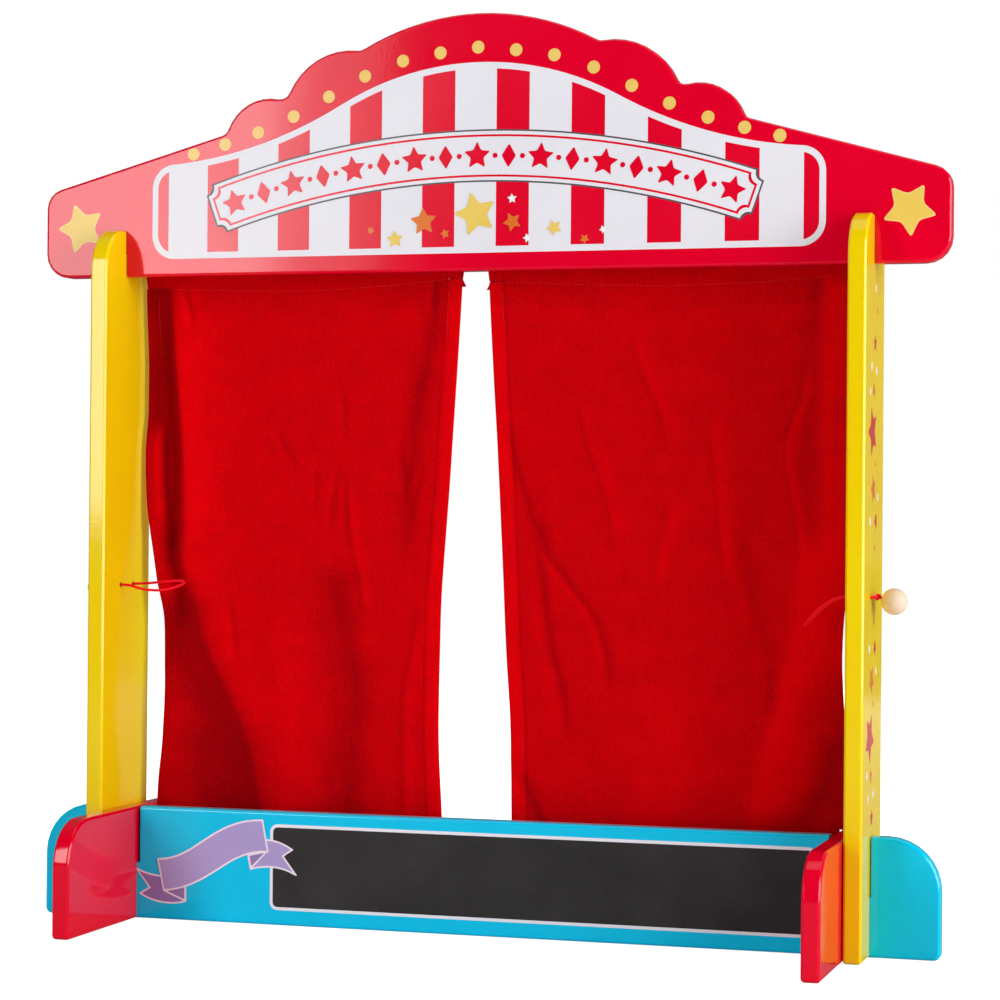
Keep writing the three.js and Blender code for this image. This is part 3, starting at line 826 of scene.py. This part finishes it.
# Curtain rod
# A plain dowel behind the header. Its ends sit in blind holes in the uprights.
ROD_R = 5
ROD_HALF = 259.7
ROD_Y = 22
ROD_Z = 452
ROD_CHAMFER = 0.8
rod_profile = [
    (0, -ROD_HALF), (ROD_R - ROD_CHAMFER, -ROD_HALF), (ROD_R, -ROD_HALF + ROD_CHAMFER),
    (ROD_R, ROD_HALF - ROD_CHAMFER), (ROD_R - ROD_CHAMFER, ROD_HALF), (0, ROD_HALF),
]
rod = turned("wooden_curtain_rod", rod_profile, 48)
lay_down = Matrix.Rotation(radians(90), 4, "Y")
rod.data.transform(Matrix.Translation(Vector((0, ROD_Y, ROD_Z)) * MM) @ lay_down)
rod.data.materials.append(bare_wood("sanded_beech_rod", (radians(4), radians(92), 0), 130))
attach(rod, "frame")
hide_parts("curtain_rod")

# Curtains
# Each is one piece of thin red cotton velour, hemmed at both sides and at the bottom. Its top is
# turned over the rod and stitched down, and it hangs in a few soft folds from that casing. The
# leading end of the casing slides along the rod.
CLOTH = 0.5
LAYER = 0.9
CASING_R = 6.3
CASING_FRONT = -0.4
CASING_REAR = 1.5
CURTAIN_LOW = 22.5
STITCH_Z = 436
SIDE_HEM = 10.3
LOW_HEM = 12
# Below this step the side edge keeps clear of the foot, and only cloth past a line gives way
LEDGE = (77.0, 77.15)
INSIDE_FOOT = 240.8
GIVES_WAY = 200
# Where a drawn curtain gathers, inside the feet
SEAM_ALLOWANCE = 5
SEAM_SHOWS = 17
SEAM_IN = 9
FLAP = 2.6
CLOTH_STEP = 1.9
CASING_STEPS = 36
END_STEPS = 44
END_START = 0.012
FLAP_ROWS = 6
FLAP_REACH = 6
CLOTH_RED = (229, 0, 6)
# Dark end of the cloth's random tone and of its painted shade
CLOTH_DARK_TONE_AND_SHADE = (150, 0, 4)
CLOTH_SHEEN = (1.0, 0.02, 0.3, 1)
# Magenta flecks painted in for the pile's sheen
CLOTH_PAINTED_SHEEN = (214, 0, 62)
PILE_SHARE = 1.2
GRAIN_SHARE = 0.32
UV_SPAN = 600
# The relief of hems, seams and puckers, and how far below the stitches it fades
HEM_STANDS = 0.35
SEAM_SINKS = 0.4
PUCKER = 0.9
PUCKER_WAVE = 0.14
PUCKER_FADE = 16
FOLD_FADE = 60
# Painted shade on the cloth: its level on flat cloth, and what a slope, depth, hem, seam and turn
# change
SHADE_FLAT = 0.56
SHADE_SLOPE = 0.5
SHADE_DEPTH = 0.09
SHADE_HEM = 0.3
SHADE_SEAM = 0.25
SHADE_TURN = 0.07
# Edges from top to bottom as X and Z, and the stitch line as Z and X
curtains = {
    "left": {
        "inward": 1,
        "side": [(-250.5, 452), (-250, 380), (-249.8, 300), (-247.3, 272), (-241.5, 238),
                 (-237, 211), (-235.6, 165), (-234.5, 150), (-236.2, 118), (-239.5, 90), (-239, 22)],
        "lead": [(-18, 452), (-18.6, 434), (-22, 370), (-26, 304), (-32, 222), (-33, 154),
                 (-33, 120), (-30, 76), (-28, 22)],
        "stitch": [(437, -250), (435, -200), (433.2, -125), (437, -60), (441, -18)],
        "travel": 190,
        "seed": 3.1,
    },
    "right": {
        "inward": -1,
        "side": [(250.5, 452), (249.5, 400), (249, 300), (248, 252), (244.5, 226), (242.5, 206),
                 (242, 165), (244, 143), (247.5, 118), (248, 22)],
        "lead": [(0, 452), (1.5, 425), (7, 338), (10, 290), (15, 189), (19, 135), (19, 115),
                 (20, 74), (20, 22)],
        "stitch": [(438, 0), (435, 60), (433, 125), (434.5, 190), (438.5, 250)],
        "travel": 200,
        "seed": 17.4,
    },
}
# A fold is its line from top to bottom, how far it stands forward, and its reach to each side
folds = {
    "left": [
        ([(-238, 441), (-236, 402), (-232, 352), (-229, 310), (-229, 275)], -5.2, 8, 4.5),
        ([(-249, 441), (-248, 400), (-247, 352)], -4.5, 10, 9),
        ([(-232.5, 441), (-228, 402), (-222.5, 352), (-219, 312), (-218, 275)], 2.2, 3, 22),
        ([(-239, 326), (-238, 290), (-234, 268)], -3.5, 3, 4),
        ([(-235, 262), (-229, 240), (-222, 215)], -6, 9, 8),
        ([(-226, 204), (-219, 178), (-205, 154), (-195, 134), (-190, 104), (-184, 50)], -6.5, 30, 19),
        ([(-206, 110), (-196, 40)], -3.2, 34, 60),
        ([(-224, 240), (-200, 182), (-176, 140), (-168, 112), (-158, 60)], 1.6, 5, 26),
        ([(-226, 441), (-220, 430), (-216, 419)], -1.8, 3, 3),
        ([(-38, 437), (-40, 424)], -1.8, 3, 3),
        ([(-40, 417), (-48, 384), (-55, 352), (-57, 326), (-61, 274)], -2.4, 13, 8),
        ([(-112, 228), (-108, 194), (-99, 168), (-96, 141), (-103, 113), (-101, 60)], -3.2, 24, 13),
        ([(-47, 200), (-55, 168), (-57, 141), (-56, 90)], 0.9, 3, 6),
        ([(-103, 353), (-102.7, 338)], -0.7, 2.5, 2.5),
        ([(-123.7, 307), (-123.6, 292)], -0.5, 2.5, 2.5),
        ([(-107.6, 303), (-113.6, 279)], -0.7, 2.5, 3),
        ([(-97.6, 282), (-93, 247), (-86, 226)], 0.9, 2.5, 4),
        ([(-102.6, 296), (-101.7, 273)], -0.5, 2.3, 2.3),
        ([(-64, 320), (-58, 295)], -0.7, 3, 3),
        ([(-46, 307), (-55.5, 286)], -0.7, 3, 3),
        ([(-155, 331), (-136, 318)], -0.8, 4, 3),
        ([(-186, 210), (-181, 186)], -1, 4, 3),
        ([(-150, 190), (-146, 120), (-139, 40)], 1.2, 12, 18),
    ],
    "right": [
        ([(102, 391), (108, 377), (114.5, 364), (126, 341)], 0.9, 3, 6),
        ([(68, 334), (77, 318), (82, 300), (90, 274)], 0.9, 3, 9),
        ([(15, 323), (21, 308), (28, 287), (34, 264)], -1.3, 6, 3.5),
        ([(35, 264), (52, 237), (66, 226), (77, 209), (84, 187)], -1.5, 3.5, 5),
        ([(37.5, 241), (41, 210), (46, 184), (55, 155)], -1.5, 6, 4),
        ([(155.5, 331), (157, 313), (160.5, 294), (163.5, 269)], 0.9, 3, 6),
        ([(128, 282), (119, 247)], 1, 4, 5),
        ([(173, 258), (180, 222), (189, 190), (193, 166)], -1.6, 9, 8),
        ([(163, 262), (172, 236), (182, 204), (188, 178)], 1.3, 7, 4),
        ([(220, 430), (216, 380), (214, 330), (213, 290)], -2, 12, 8),
        ([(217.5, 362), (207.5, 339), (204.5, 325), (207, 304), (215, 272)], 2, 3, 3.5),
        ([(231, 432), (231, 340), (232, 262)], 2.2, 7, 7),
        ([(218, 246), (213, 200), (204, 165), (196, 131), (186, 92)], 3.4, 9, 18),
        ([(237, 122), (229, 102), (212, 78)], -3.4, 9, 9),
        ([(247, 160), (245, 110), (243, 60)], -5, 22, 12),
        ([(25, 97), (38, 79), (46, 50)], -1.6, 7, 5),
        ([(118, 150), (112, 90), (106, 40)], 1.4, 18, 22),
    ],
}
# Wrinkles across and down as waves a millimetre, and their depth
wrinkles = ((0.025, 0.006, 0.9), (0.07, 0.02, 0.42), (0.16, 0.06, 0.16))


def along(points, height):
    """X of an edge or a fold at heights, with its corners eased."""
    line = sorted((z, x) for x, z in points)
    heights = [z for z, _ in line]
    places = [x for _, x in line]
    return np.mean([np.interp(height + t, heights, places) for t in (-14, -7, 0, 7, 14)], axis=0)


def ease(share):
    share = np.clip(share, 0, 1)
    return share * share * (3 - 2 * share)


def join_x(word):
    """X where the cloth's own casing ends, beside the casing's leading end."""
    lead = along(curtains[word]["lead"], np.array([float(STITCH_Z)]))
    return float(lead[0]) - curtains[word]["inward"] * SIDE_HEM


def before_end(word, x):
    """X held still over the lead hem, so that the drawn cloth clears the casing's end."""
    if curtains[word]["inward"] > 0:
        return np.minimum(x, join_x(word))
    return np.maximum(x, join_x(word))


def waves(x, z, across, down, seed):
    """Smooth noise over the cloth, the same in every run."""
    drift = [noise.noise(Vector((a * across, b * down, seed))) for a, b in zip(x.flat, z.flat)]
    return np.array(drift).reshape(x.shape)


def folded(word, x, z):
    """How far the folds alone stand towards the audience."""
    height = np.zeros_like(x)
    for line, depth, left, right in folds[word]:
        ends = [end for _, end in line]
        away = x - along(line, z)
        reach = np.where(away < 0, left, right)
        fade = min(30, 8 + 0.3 * (max(ends) - min(ends)))
        there = ease((max(ends) + fade - z) / fade) * ease((z - min(ends) + fade) / fade)
        height += depth * there * np.exp(-((away / reach) ** 2))
    return height


def forward(word, x, z, top):
    """How far the cloth stands towards the audience, at places given as arrays."""
    height = folded(word, x, z)
    seed = curtains[word]["seed"]
    for across, down, depth in wrinkles:
        height += depth * waves(x, z, across, down, seed)
    for edge in ("side", "lead"):
        inset = np.abs(x - along(curtains[word][edge], z))
        height += HEM_STANDS * ease((SEAM_IN + 1 - inset) / 1.5)
        height -= SEAM_SINKS * np.exp(-((inset - SEAM_IN) ** 2))
    near = np.exp(-(((top - z) / PUCKER_FADE) ** 2))
    pucker = PUCKER * waves(before_end(word, x), 0 * x, PUCKER_WAVE, 1, seed)
    return height * ease((top - z) / FOLD_FADE) + pucker * near


def painted_cloth_shade(word, x, z, top):
    """Painted shade: dark on left-facing flanks, in hollows, at the lead seam; light on the lead hem.
    """
    slope = (folded(word, x + 1, z) - folded(word, x - 1, z)) / 2
    lead = np.abs(x - along(curtains[word]["lead"], z))
    painted_shade = SHADE_FLAT - SHADE_SLOPE * slope + SHADE_DEPTH * folded(word, x, z)
    painted_shade += SHADE_HEM * ease((SEAM_IN + 1 - lead) / 2)
    painted_shade -= SHADE_SEAM * np.exp(-((lead - SEAM_IN - 1) ** 2))
    return np.clip(painted_shade - SHADE_TURN * ease((SEAM_SHOWS - top + z) / 3), 0, 1)


def casing_place(drop, share):
    """A place on the casing's section from the stitch line, over the rod and down again."""
    meet = acos(CASING_R / drop)
    turn = 2 * (pi - meet)
    climb = sqrt(drop ** 2 - CASING_R ** 2)
    far = share * (2 * climb + turn * CASING_R + SEAM_ALLOWANCE)
    start = -pi / 2 - meet
    high = CASING_R * sin(start)
    if far < climb:
        t = far / climb
        return CASING_FRONT * (1 - t) + CASING_R * cos(start) * t, t * (drop + high) - drop, far
    if far < climb + turn * CASING_R:
        angle = start - (far - climb) / CASING_R
        return CASING_R * cos(angle), CASING_R * sin(angle), far
    t = (far - climb - turn * CASING_R) / climb
    if t < 1:
        return CASING_REAR * t - CASING_R * cos(start) * (1 - t), high - t * (drop + high), far
    return CASING_REAR, -drop - (t - 1) * climb, far


def curtain_columns(word):
    """Columns of the cloth, from the raw edge of one side hem to the other: where, and layers."""
    folded = [(inset, 1) for inset in (SIDE_HEM, 8.4, 6.2, 4, 2, 0.7)]
    turned_over = [(0.1, 0.75), (-0.15, 0.5), (0.1, 0.25)]
    front = [(inset, 0) for inset in (0.7, 2, 4, 6.2, 8.4, SIDE_HEM)]
    hem = folded + turned_over + front
    width = abs(curtains[word]["side"][0][0] - curtains[word]["lead"][0][0]) - 2 * SIDE_HEM
    count = round(width / CLOTH_STEP)
    middle = [("middle", i / count, 0) for i in range(1, count)]
    return (
        [("side", *place) for place in hem] + middle + [("lead", *place) for place in hem[::-1]]
    )


def curtain_rows():
    """Rows of the cloth, from the raw edge of the bottom hem to the end of the casing."""
    hem = [("hem", inset, 2) for inset in (LOW_HEM, 9, 6, 3.5, 1.5, 0.6)]
    hem += [("hem", 0.1, 1.5), ("hem", -0.2, 1), ("hem", 0.1, 0.5)]
    count = round((STITCH_Z - CURTAIN_LOW) / CLOTH_STEP)
    drop = [("drop", (i + 0.3) / (count + 0.3), 0) for i in range(count + 1)]
    drop += [("drop", (z - CURTAIN_LOW) / (STITCH_Z - CURTAIN_LOW), 0) for z in LEDGE]
    casing = [("casing", i / CASING_STEPS, 0) for i in range(1, CASING_STEPS + 1)]
    return hem + sorted(drop) + casing


def column_places(word, columns, z):
    """X of each column at each row's height."""
    cloth = curtains[word]
    side = along(cloth["side"], z)
    lead = along(cloth["lead"], z)
    edges = {"side": (side, cloth["inward"]), "lead": (lead, -cloth["inward"])}
    places = []
    for edge, value, _ in columns:
        if edge == "middle":
            start = side + cloth["inward"] * SIDE_HEM
            stop = lead - cloth["inward"] * SIDE_HEM
            places.append(start + (stop - start) * value)
        else:
            places.append(edges[edge][0] + edges[edge][1] * value)
    places = np.stack(places, axis=1)
    over = np.maximum(np.abs(side) - INSIDE_FOOT, 0) * (z < LEDGE[0] + 0.05)
    reach = (np.abs(places) - GIVES_WAY) / (np.abs(side)[:, None] - GIVES_WAY)
    return places + cloth["inward"] * over[:, None] * np.clip(reach, 0, 1)


def cloth_across(column, width):
    """Where a column lies on the cloth before it was hemmed."""
    edge, value, layer = column
    if edge == "middle":
        return 2 * SIDE_HEM + value * (width - 2 * SIDE_HEM)
    inset = -value if layer > 0.4 else value
    return SIDE_HEM + inset if edge == "side" else SIDE_HEM + width - inset


def hang_cloth(word, columns, rows):
    """Places, map and painted shade of a curtain's cloth, row by row."""
    top_x = column_places(word, columns, np.array([float(STITCH_Z)]))[0]
    stitch = along(curtains[word]["stitch"], before_end(word, top_x))
    pucker = forward(word, top_x[None], stitch[None], stitch[None])[0]
    grid = []
    for kind, value, layer in rows:
        if kind == "casing":
            line = []
            for i, column in enumerate(columns):
                y, z, far = casing_place(ROD_Z - stitch[i], value)
                near = exp(-(((ROD_Z + z - stitch[i]) / 9) ** 2))
                spot = (top_x[i], ROD_Y + y - pucker[i] * near, ROD_Z + z)
                width = abs(top_x[-1] - top_x[0])
                line.append((spot, (cloth_across(column, width), stitch[i] + far), 0.5))
        else:
            share = value if kind == "drop" else value / (STITCH_Z - CURTAIN_LOW)
            level = np.array([CURTAIN_LOW + (STITCH_Z - CURTAIN_LOW) * share])
            x = column_places(word, columns, level)
            z = CURTAIN_LOW + (stitch - CURTAIN_LOW) * share
            out = forward(word, x, z[None], stitch[None])[0]
            width = abs(x[0][-1] - x[0][0])
            # Painted shade of the cloth at each place, for the cloth's colour
            painted_shade = painted_cloth_shade(word, x, z[None], stitch[None])[0]
            line = []
            for i, column in enumerate(columns):
                y = ROD_Y + CASING_FRONT - out[i] + (column[2] + layer) * LAYER
                up = z[i] if layer == 0 else 2 * CURTAIN_LOW - z[i]
                line.append(((x[0][i], y, z[i]), (cloth_across(column, width), up), painted_shade[i]))
        grid.append(line)
    return grid


def curtain_cloth(name):
    """Cotton velour: close weave under a short soft pile, with painted shade and painted sheen
    flecks.
    """
    material, shader = new_finish(
        name, 0.9, Sheen_Weight=0.06, Sheen_Roughness=0.45, Sheen_Tint=CLOTH_SHEEN,
        Specular_IOR_Level=0.02,
    )
    uv = add_node(material, "TexCoord")
    span = (UV_SPAN, UV_SPAN, UV_SPAN)
    grid = add_node(material, "Mapping", [("Vector", uv, "UV")], Scale=span)
    threads = [
        add_node(
            material, "TexWave", [("Vector", grid, "Vector")], bands_direction=direction,
            Scale=0.5, Distortion=0.8, Detail=1,
        ) for direction in ("X", "Y")
    ]
    weave = combined(material, "ADD", (threads[0], "Fac"), (threads[1], "Fac"))
    pile = speckle(material, grid, "Vector", 0.5, 4, Roughness=0.75)
    crush = speckle(material, grid, "Vector", 0.05, 10, Roughness=0.7)
    painted_shade = add_node(material, "Attribute", attribute_name="painted_cloth_shade")
    grain = add_node(
        material, "Math", [(0, pile, "Fac"), (2, crush, "Fac")], operation="MULTIPLY_ADD",
    )
    grain.inputs[1].default_value = PILE_SHARE
    # Half the painted shade, added to the grain's random tone, picks the red from dark to bright
    mean = add_node(material, "Math", [(0, painted_shade, "Fac")], operation="MULTIPLY")
    mean.inputs[1].default_value = 0.5
    depth = add_node(
        material, "Math", [(0, grain, "Value"), (2, mean, "Value")], operation="MULTIPLY_ADD",
    )
    depth.inputs[1].default_value = GRAIN_SHARE
    low = GRAIN_SHARE * (1 + PILE_SHARE) / 2
    color = blend_of(material, CLOTH_DARK_TONE_AND_SHADE, CLOTH_RED, depth, "Value", low, low + 0.5)
    # Magenta flecks at random, painted in for the pile's sheen
    painted_sheen_noise = speckle(material, grid, "Vector", 1, 2)
    painted_sheen_share = add_node(
        material, "MapRange", [("Value", painted_sheen_noise, "Fac")], From_Min=0.56, From_Max=0.8, To_Max=0.5,
    )
    painted_sheen_mix = add_node(material, "Mix", [(0, painted_sheen_share, "Result")], data_type="RGBA")
    material.node_tree.links.new(color.outputs["Color"], painted_sheen_mix.inputs[6])
    painted_sheen_mix.inputs[7].default_value = linear(CLOTH_PAINTED_SHEEN)
    join_to(material, painted_sheen_mix, 2, shader, "Base Color")
    surface = combined(material, "ADD", (weave, "Value"), (pile, "Fac"))
    span = (0.24 * UV_SPAN, 0.03 * UV_SPAN, 1)
    long_creases = add_node(material, "Mapping", [("Vector", uv, "UV")], Scale=span)
    crumple = speckle(material, long_creases, "Vector", 1, 5, Roughness=0.65, Distortion=0.8)
    creased = add_node(
        material, "Bump", [("Height", crumple, "Fac")], Strength=0.8, Distance=0.7 * MM,
    )
    bump = add_node(
        material, "Bump", [("Height", surface, "Value"), ("Normal", creased, "Normal")],
        Strength=0.35, Distance=0.12 * MM,
    )
    join_to(material, bump, "Normal", shader, "Normal")
    return material


def sewn(name, grid, keeps):
    """A sheet of cloth through a grid of places, with its map and painted shade, given its thickness.
    """
    width = len(grid[0])
    faces = []
    for j in range(len(grid) - 1):
        for i in range(width - 1):
            if keeps(i, j):
                a = j * width + i
                faces.append((a, a + 1, a + width + 1, a + width))
    mesh = bpy.data.meshes.new(name)
    mesh.from_pydata([Vector(spot) * MM for line in grid for spot, _, _ in line], [], faces)
    maps = [(u / UV_SPAN, v / UV_SPAN) for line in grid for _, (u, v), _ in line]
    # Painted shade on each point, which darkens the cloth's red
    painted_shade = mesh.attributes.new("painted_cloth_shade", "FLOAT", "POINT")
    painted_shade.data.foreach_set("value", [float(share) for line in grid for _, _, share in line])
    layer = mesh.uv_layers.new(name="cloth_map")
    for loop in mesh.loops:
        layer.data[loop.index].uv = maps[loop.vertex_index]
    piece = add_piece(name, mesh)
    bpy.ops.object.modifier_add(type="SOLIDIFY")
    thick = piece.modifiers[-1]
    thick.thickness = CLOTH * MM
    thick.offset = 0
    bpy.ops.object.modifier_apply(modifier=thick.name)
    bpy.ops.object.mode_set(mode="EDIT")
    bpy.ops.mesh.select_all(action="SELECT")
    bpy.ops.mesh.delete_loose()
    bpy.ops.object.mode_set(mode="OBJECT")
    face_out()
    bpy.ops.object.shade_smooth_by_angle(angle=radians(60))
    piece.data.materials.append(cloth_red)
    return piece


# Stitching
# One row of machine stitches closes the casing, and one runs down each side hem, in bright
# polyester thread.
STITCH_LENGTH = 2.3
STITCH_PITCH = 3.1
STITCH_THICK = 0.26
thread_red, shader = new_finish("bright_red_thread", 0.6, Sheen_Weight=0.2)
place = add_node(thread_red, "TexCoord")
twist = speckle(thread_red, place, "Object", 2500, 2)
tint(thread_red, shader, (206, 4, 16), (222, 16, 28), (twist, "Fac"), 0.3, 0.65)
bpy.ops.mesh.primitive_uv_sphere_add(segments=6, ring_count=6, radius=0.5)
stitch = bpy.context.object
bead = [Vector((v.co.z * STITCH_LENGTH, v.co.y * 0.5, v.co.x * 0.5)) for v in stitch.data.vertices]
bead_faces = [tuple(face.vertices) for face in stitch.data.polygons]
bpy.data.objects.remove(stitch)


def stitching(name, seams):
    """Rows of stitches along seams, each a list of close places in millimetres."""
    places = []
    faces = []
    for seam in seams:
        walked = 0.0
        for here, after in zip(seam, seam[1:]):
            step = (after - here).length
            walked += step
            if walked < STITCH_PITCH:
                continue
            walked -= STITCH_PITCH
            turn = (after - here).normalized().to_track_quat("X", "Z").to_matrix()
            start = len(places)
            for corner in bead:
                thin = Vector((corner.x, corner.y * 2 * STITCH_THICK, corner.z * 2 * STITCH_THICK))
                places.append((here + turn @ thin) * MM)
            faces += [tuple(start + k for k in face) for face in bead_faces]
    mesh = bpy.data.meshes.new(name)
    mesh.from_pydata(places, [], faces)
    piece = add_piece(name, mesh)
    face_out()
    bpy.ops.object.shade_smooth()
    piece.data.materials.append(thread_red)
    return piece


def seam_down(word, edge, inset):
    """The line of a side hem's stitches, from the bottom hem to the casing."""
    z = np.arange(CURTAIN_LOW + 2, STITCH_Z - 3, 0.5)
    x = column_places(word, [(edge, inset, 0)], z)
    out = forward(word, x, z[:, None], np.full_like(x, STITCH_Z))
    return [
        Vector((x[i, 0], ROD_Y + CASING_FRONT - out[i, 0] - CLOTH / 2, z[i]))
        for i in range(len(z))
    ]


def seam_across(word):
    """The line of the casing's stitches, up to the leading end of the casing."""
    ends = sorted((curtains[word]["side"][0][0], curtains[word]["lead"][0][0]))
    x = np.arange(ends[0] + 2, ends[1] - 1, 0.5)
    z = along(curtains[word]["stitch"], before_end(word, x))
    out = forward(word, x, z, z)
    return [
        Vector((x[i], ROD_Y + CASING_FRONT - out[i] - CLOTH / 2, z[i])) for i in range(len(x))
    ]


def is_cloth(columns, rows, i, j):
    """Whether a cell holds cloth: no hem outside the drop, and no casing at the leading end."""
    two = columns[i:i + 2]
    hanging = rows[j][0] == rows[j + 1][0] == "drop"
    hemmed = max(two[0][2], two[1][2]) > 0
    at_lead = two[0][0] == two[1][0] == "lead"
    in_casing = rows[j + 1][0] == "casing"
    return (hanging or not hemmed) and not (in_casing and at_lead)


cloth_red = curtain_cloth("red_cotton_velour")
for word, cloth in curtains.items():
    columns = curtain_columns(word)
    rows = curtain_rows()
    grid = hang_cloth(word, columns, rows)
    curtain = sewn(f"red_curtain_{word}", grid, lambda i, j: is_cloth(columns, rows, i, j))
    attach(curtain, "frame")
    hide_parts(f"curtain_{word}")

    end_columns = [("lead", inset, 0) for inset in (SIDE_HEM - 0.3, 8, 6, 4, 2, 0.9, 0)]
    end_shares = [END_START + (1 - END_START) * i / END_STEPS for i in range(END_STEPS + 1)]
    end_rows = [("casing", share, 0) for share in end_shares]
    end_grid = hang_cloth(word, end_columns, end_rows)
    stitch_z = float(along(cloth["stitch"], np.array([join_x(word)]))[0])
    for line in end_grid[-FLAP_ROWS:]:
        for i, (spot, uv, painted_shade) in enumerate(line):
            low = max(stitch_z - spot[2], 0) / SEAM_ALLOWANCE
            shift = cloth["inward"] * FLAP * low * max(1 - end_columns[i][1] / FLAP_REACH, 0)
            line[i] = ((spot[0] + shift, spot[1], spot[2]), uv, painted_shade)
    end = sewn(f"curtain_casing_end_{word}", end_grid, lambda i, j: True)
    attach(end, f"{word}_curtain_lead")
    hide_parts(f"curtain_{word}_lead")

    seams = [seam_across(word), seam_down(word, "side", SEAM_IN), seam_down(word, "lead", SEAM_IN)]
    thread = stitching(f"curtain_stitching_{word}", seams)
    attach(thread, "frame")
    for piece in (curtain, thread):
        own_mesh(piece)

# The studio
# A white floor that keeps a faint shadow, with white behind. The key is a tall soft light at the
# front left with a dimmer strip along its edge. Weaker ones stand low in front, at the right,
# overhead and at the back.
FLOOR_SIZE = 30
FLOOR_DROP = -0.0003
FLOOR_WHITE = 0.85
FLOOR_MIRRORED = 0.3
FLOOR_GLOW = 0.8
bpy.ops.mesh.primitive_plane_add(size=FLOOR_SIZE, location=(0, 0, FLOOR_DROP))
floor = bpy.context.object
floor.name = "studio_floor"
white, shader = new_finish(
    "studio_white", 0.9, Specular_IOR_Level=0.1, Emission_Color=(1, 1, 1, 1),
)
seen = add_node(white, "LightPath")
lift = add_node(white, "Math", [(0, seen, "Is Camera Ray")], operation="MULTIPLY")
lift.inputs[1].default_value = FLOOR_GLOW
grey = add_node(
    white, "MapRange", [("Value", seen, "Is Glossy Ray")], To_Min=FLOOR_WHITE,
    To_Max=FLOOR_MIRRORED,
)
join_to(white, grey, "Result", shader, "Base Color")
join_to(white, lift, "Value", shader, "Emission Strength")
floor.data.materials.append(white)

# The camera sees white all round. Reflections see a grey back and a dark room in front.
FILL = 0.25
FRONT_DARK = 0.0
BACK_GREY = 0.14
world = bpy.data.worlds.new("white_studio")
bpy.context.scene.world = world
world.use_nodes = True
background = world.node_tree.nodes["Background"]
background.inputs["Color"].default_value = (1, 1, 1, 1)
direction = add_node(world, "TexCoord")
parts = add_node(world, "SeparateXYZ", [(0, direction, "Generated")])
behind = add_node(
    world, "MapRange", [("Value", parts, "Y")], From_Min=-0.25, From_Max=0.35,
    To_Min=FRONT_DARK, To_Max=BACK_GREY,
)
paths = add_node(world, "LightPath")
links = [("Factor", paths, "Is Glossy Ray"), ("B", behind, "Result")]
mirrored = add_node(world, "Mix", links, data_type="FLOAT", A=FILL)
direct = combined(world, "MAXIMUM", (paths, "Is Camera Ray"), (paths, "Is Transmission Ray"))
shown = combined(world, "MAXIMUM", (direct, "Value"), (mirrored, "Result"))
join_to(world, shown, "Value", background, "Strength")


def softbox(name, place, aim, width, height, power, mirrored_too):
    """A large soft light that faces a point, and shows in the gloss or doesn't."""
    bpy.ops.object.light_add(type="AREA", location=place)
    lamp = bpy.context.object
    lamp.name = name
    lamp.data.shape = "RECTANGLE"
    lamp.data.size = width
    lamp.data.size_y = height
    lamp.data.energy = power
    lamp.rotation_mode = "QUATERNION"
    lamp.rotation_quaternion = (Vector(aim) - Vector(place)).to_track_quat("-Z", "Y")
    lamp.visible_camera = False
    lamp.visible_glossy = mirrored_too


softbox("key_softbox", (-1.0535, -1.779, 0.9), (0, -0.06, 0.35), 0.43, 1.3, 14, True)
softbox("key_softbox_edge", (-0.8086, -1.928, 0.9), (0.24, -0.21, 0.35), 0.15, 1.3, 1.5, True)
softbox("low_softbox", (0, -0.8, 0.03), (0, 0, 0.12), 1.4, 0.15, 0.9, False)
softbox("right_softbox", (2.2, -0.7, 0.8), (0.1, 0, 0.3), 1.4, 1.6, 47, True)
softbox("top_softbox", (0, 0.1, 2.2), (0, 0, 0), 2, 1.2, 6.8, True)
softbox("back_softbox", (0.6, 2.4, 0.9), (0, 0, 0.3), 2.4, 1.4, 28, False)
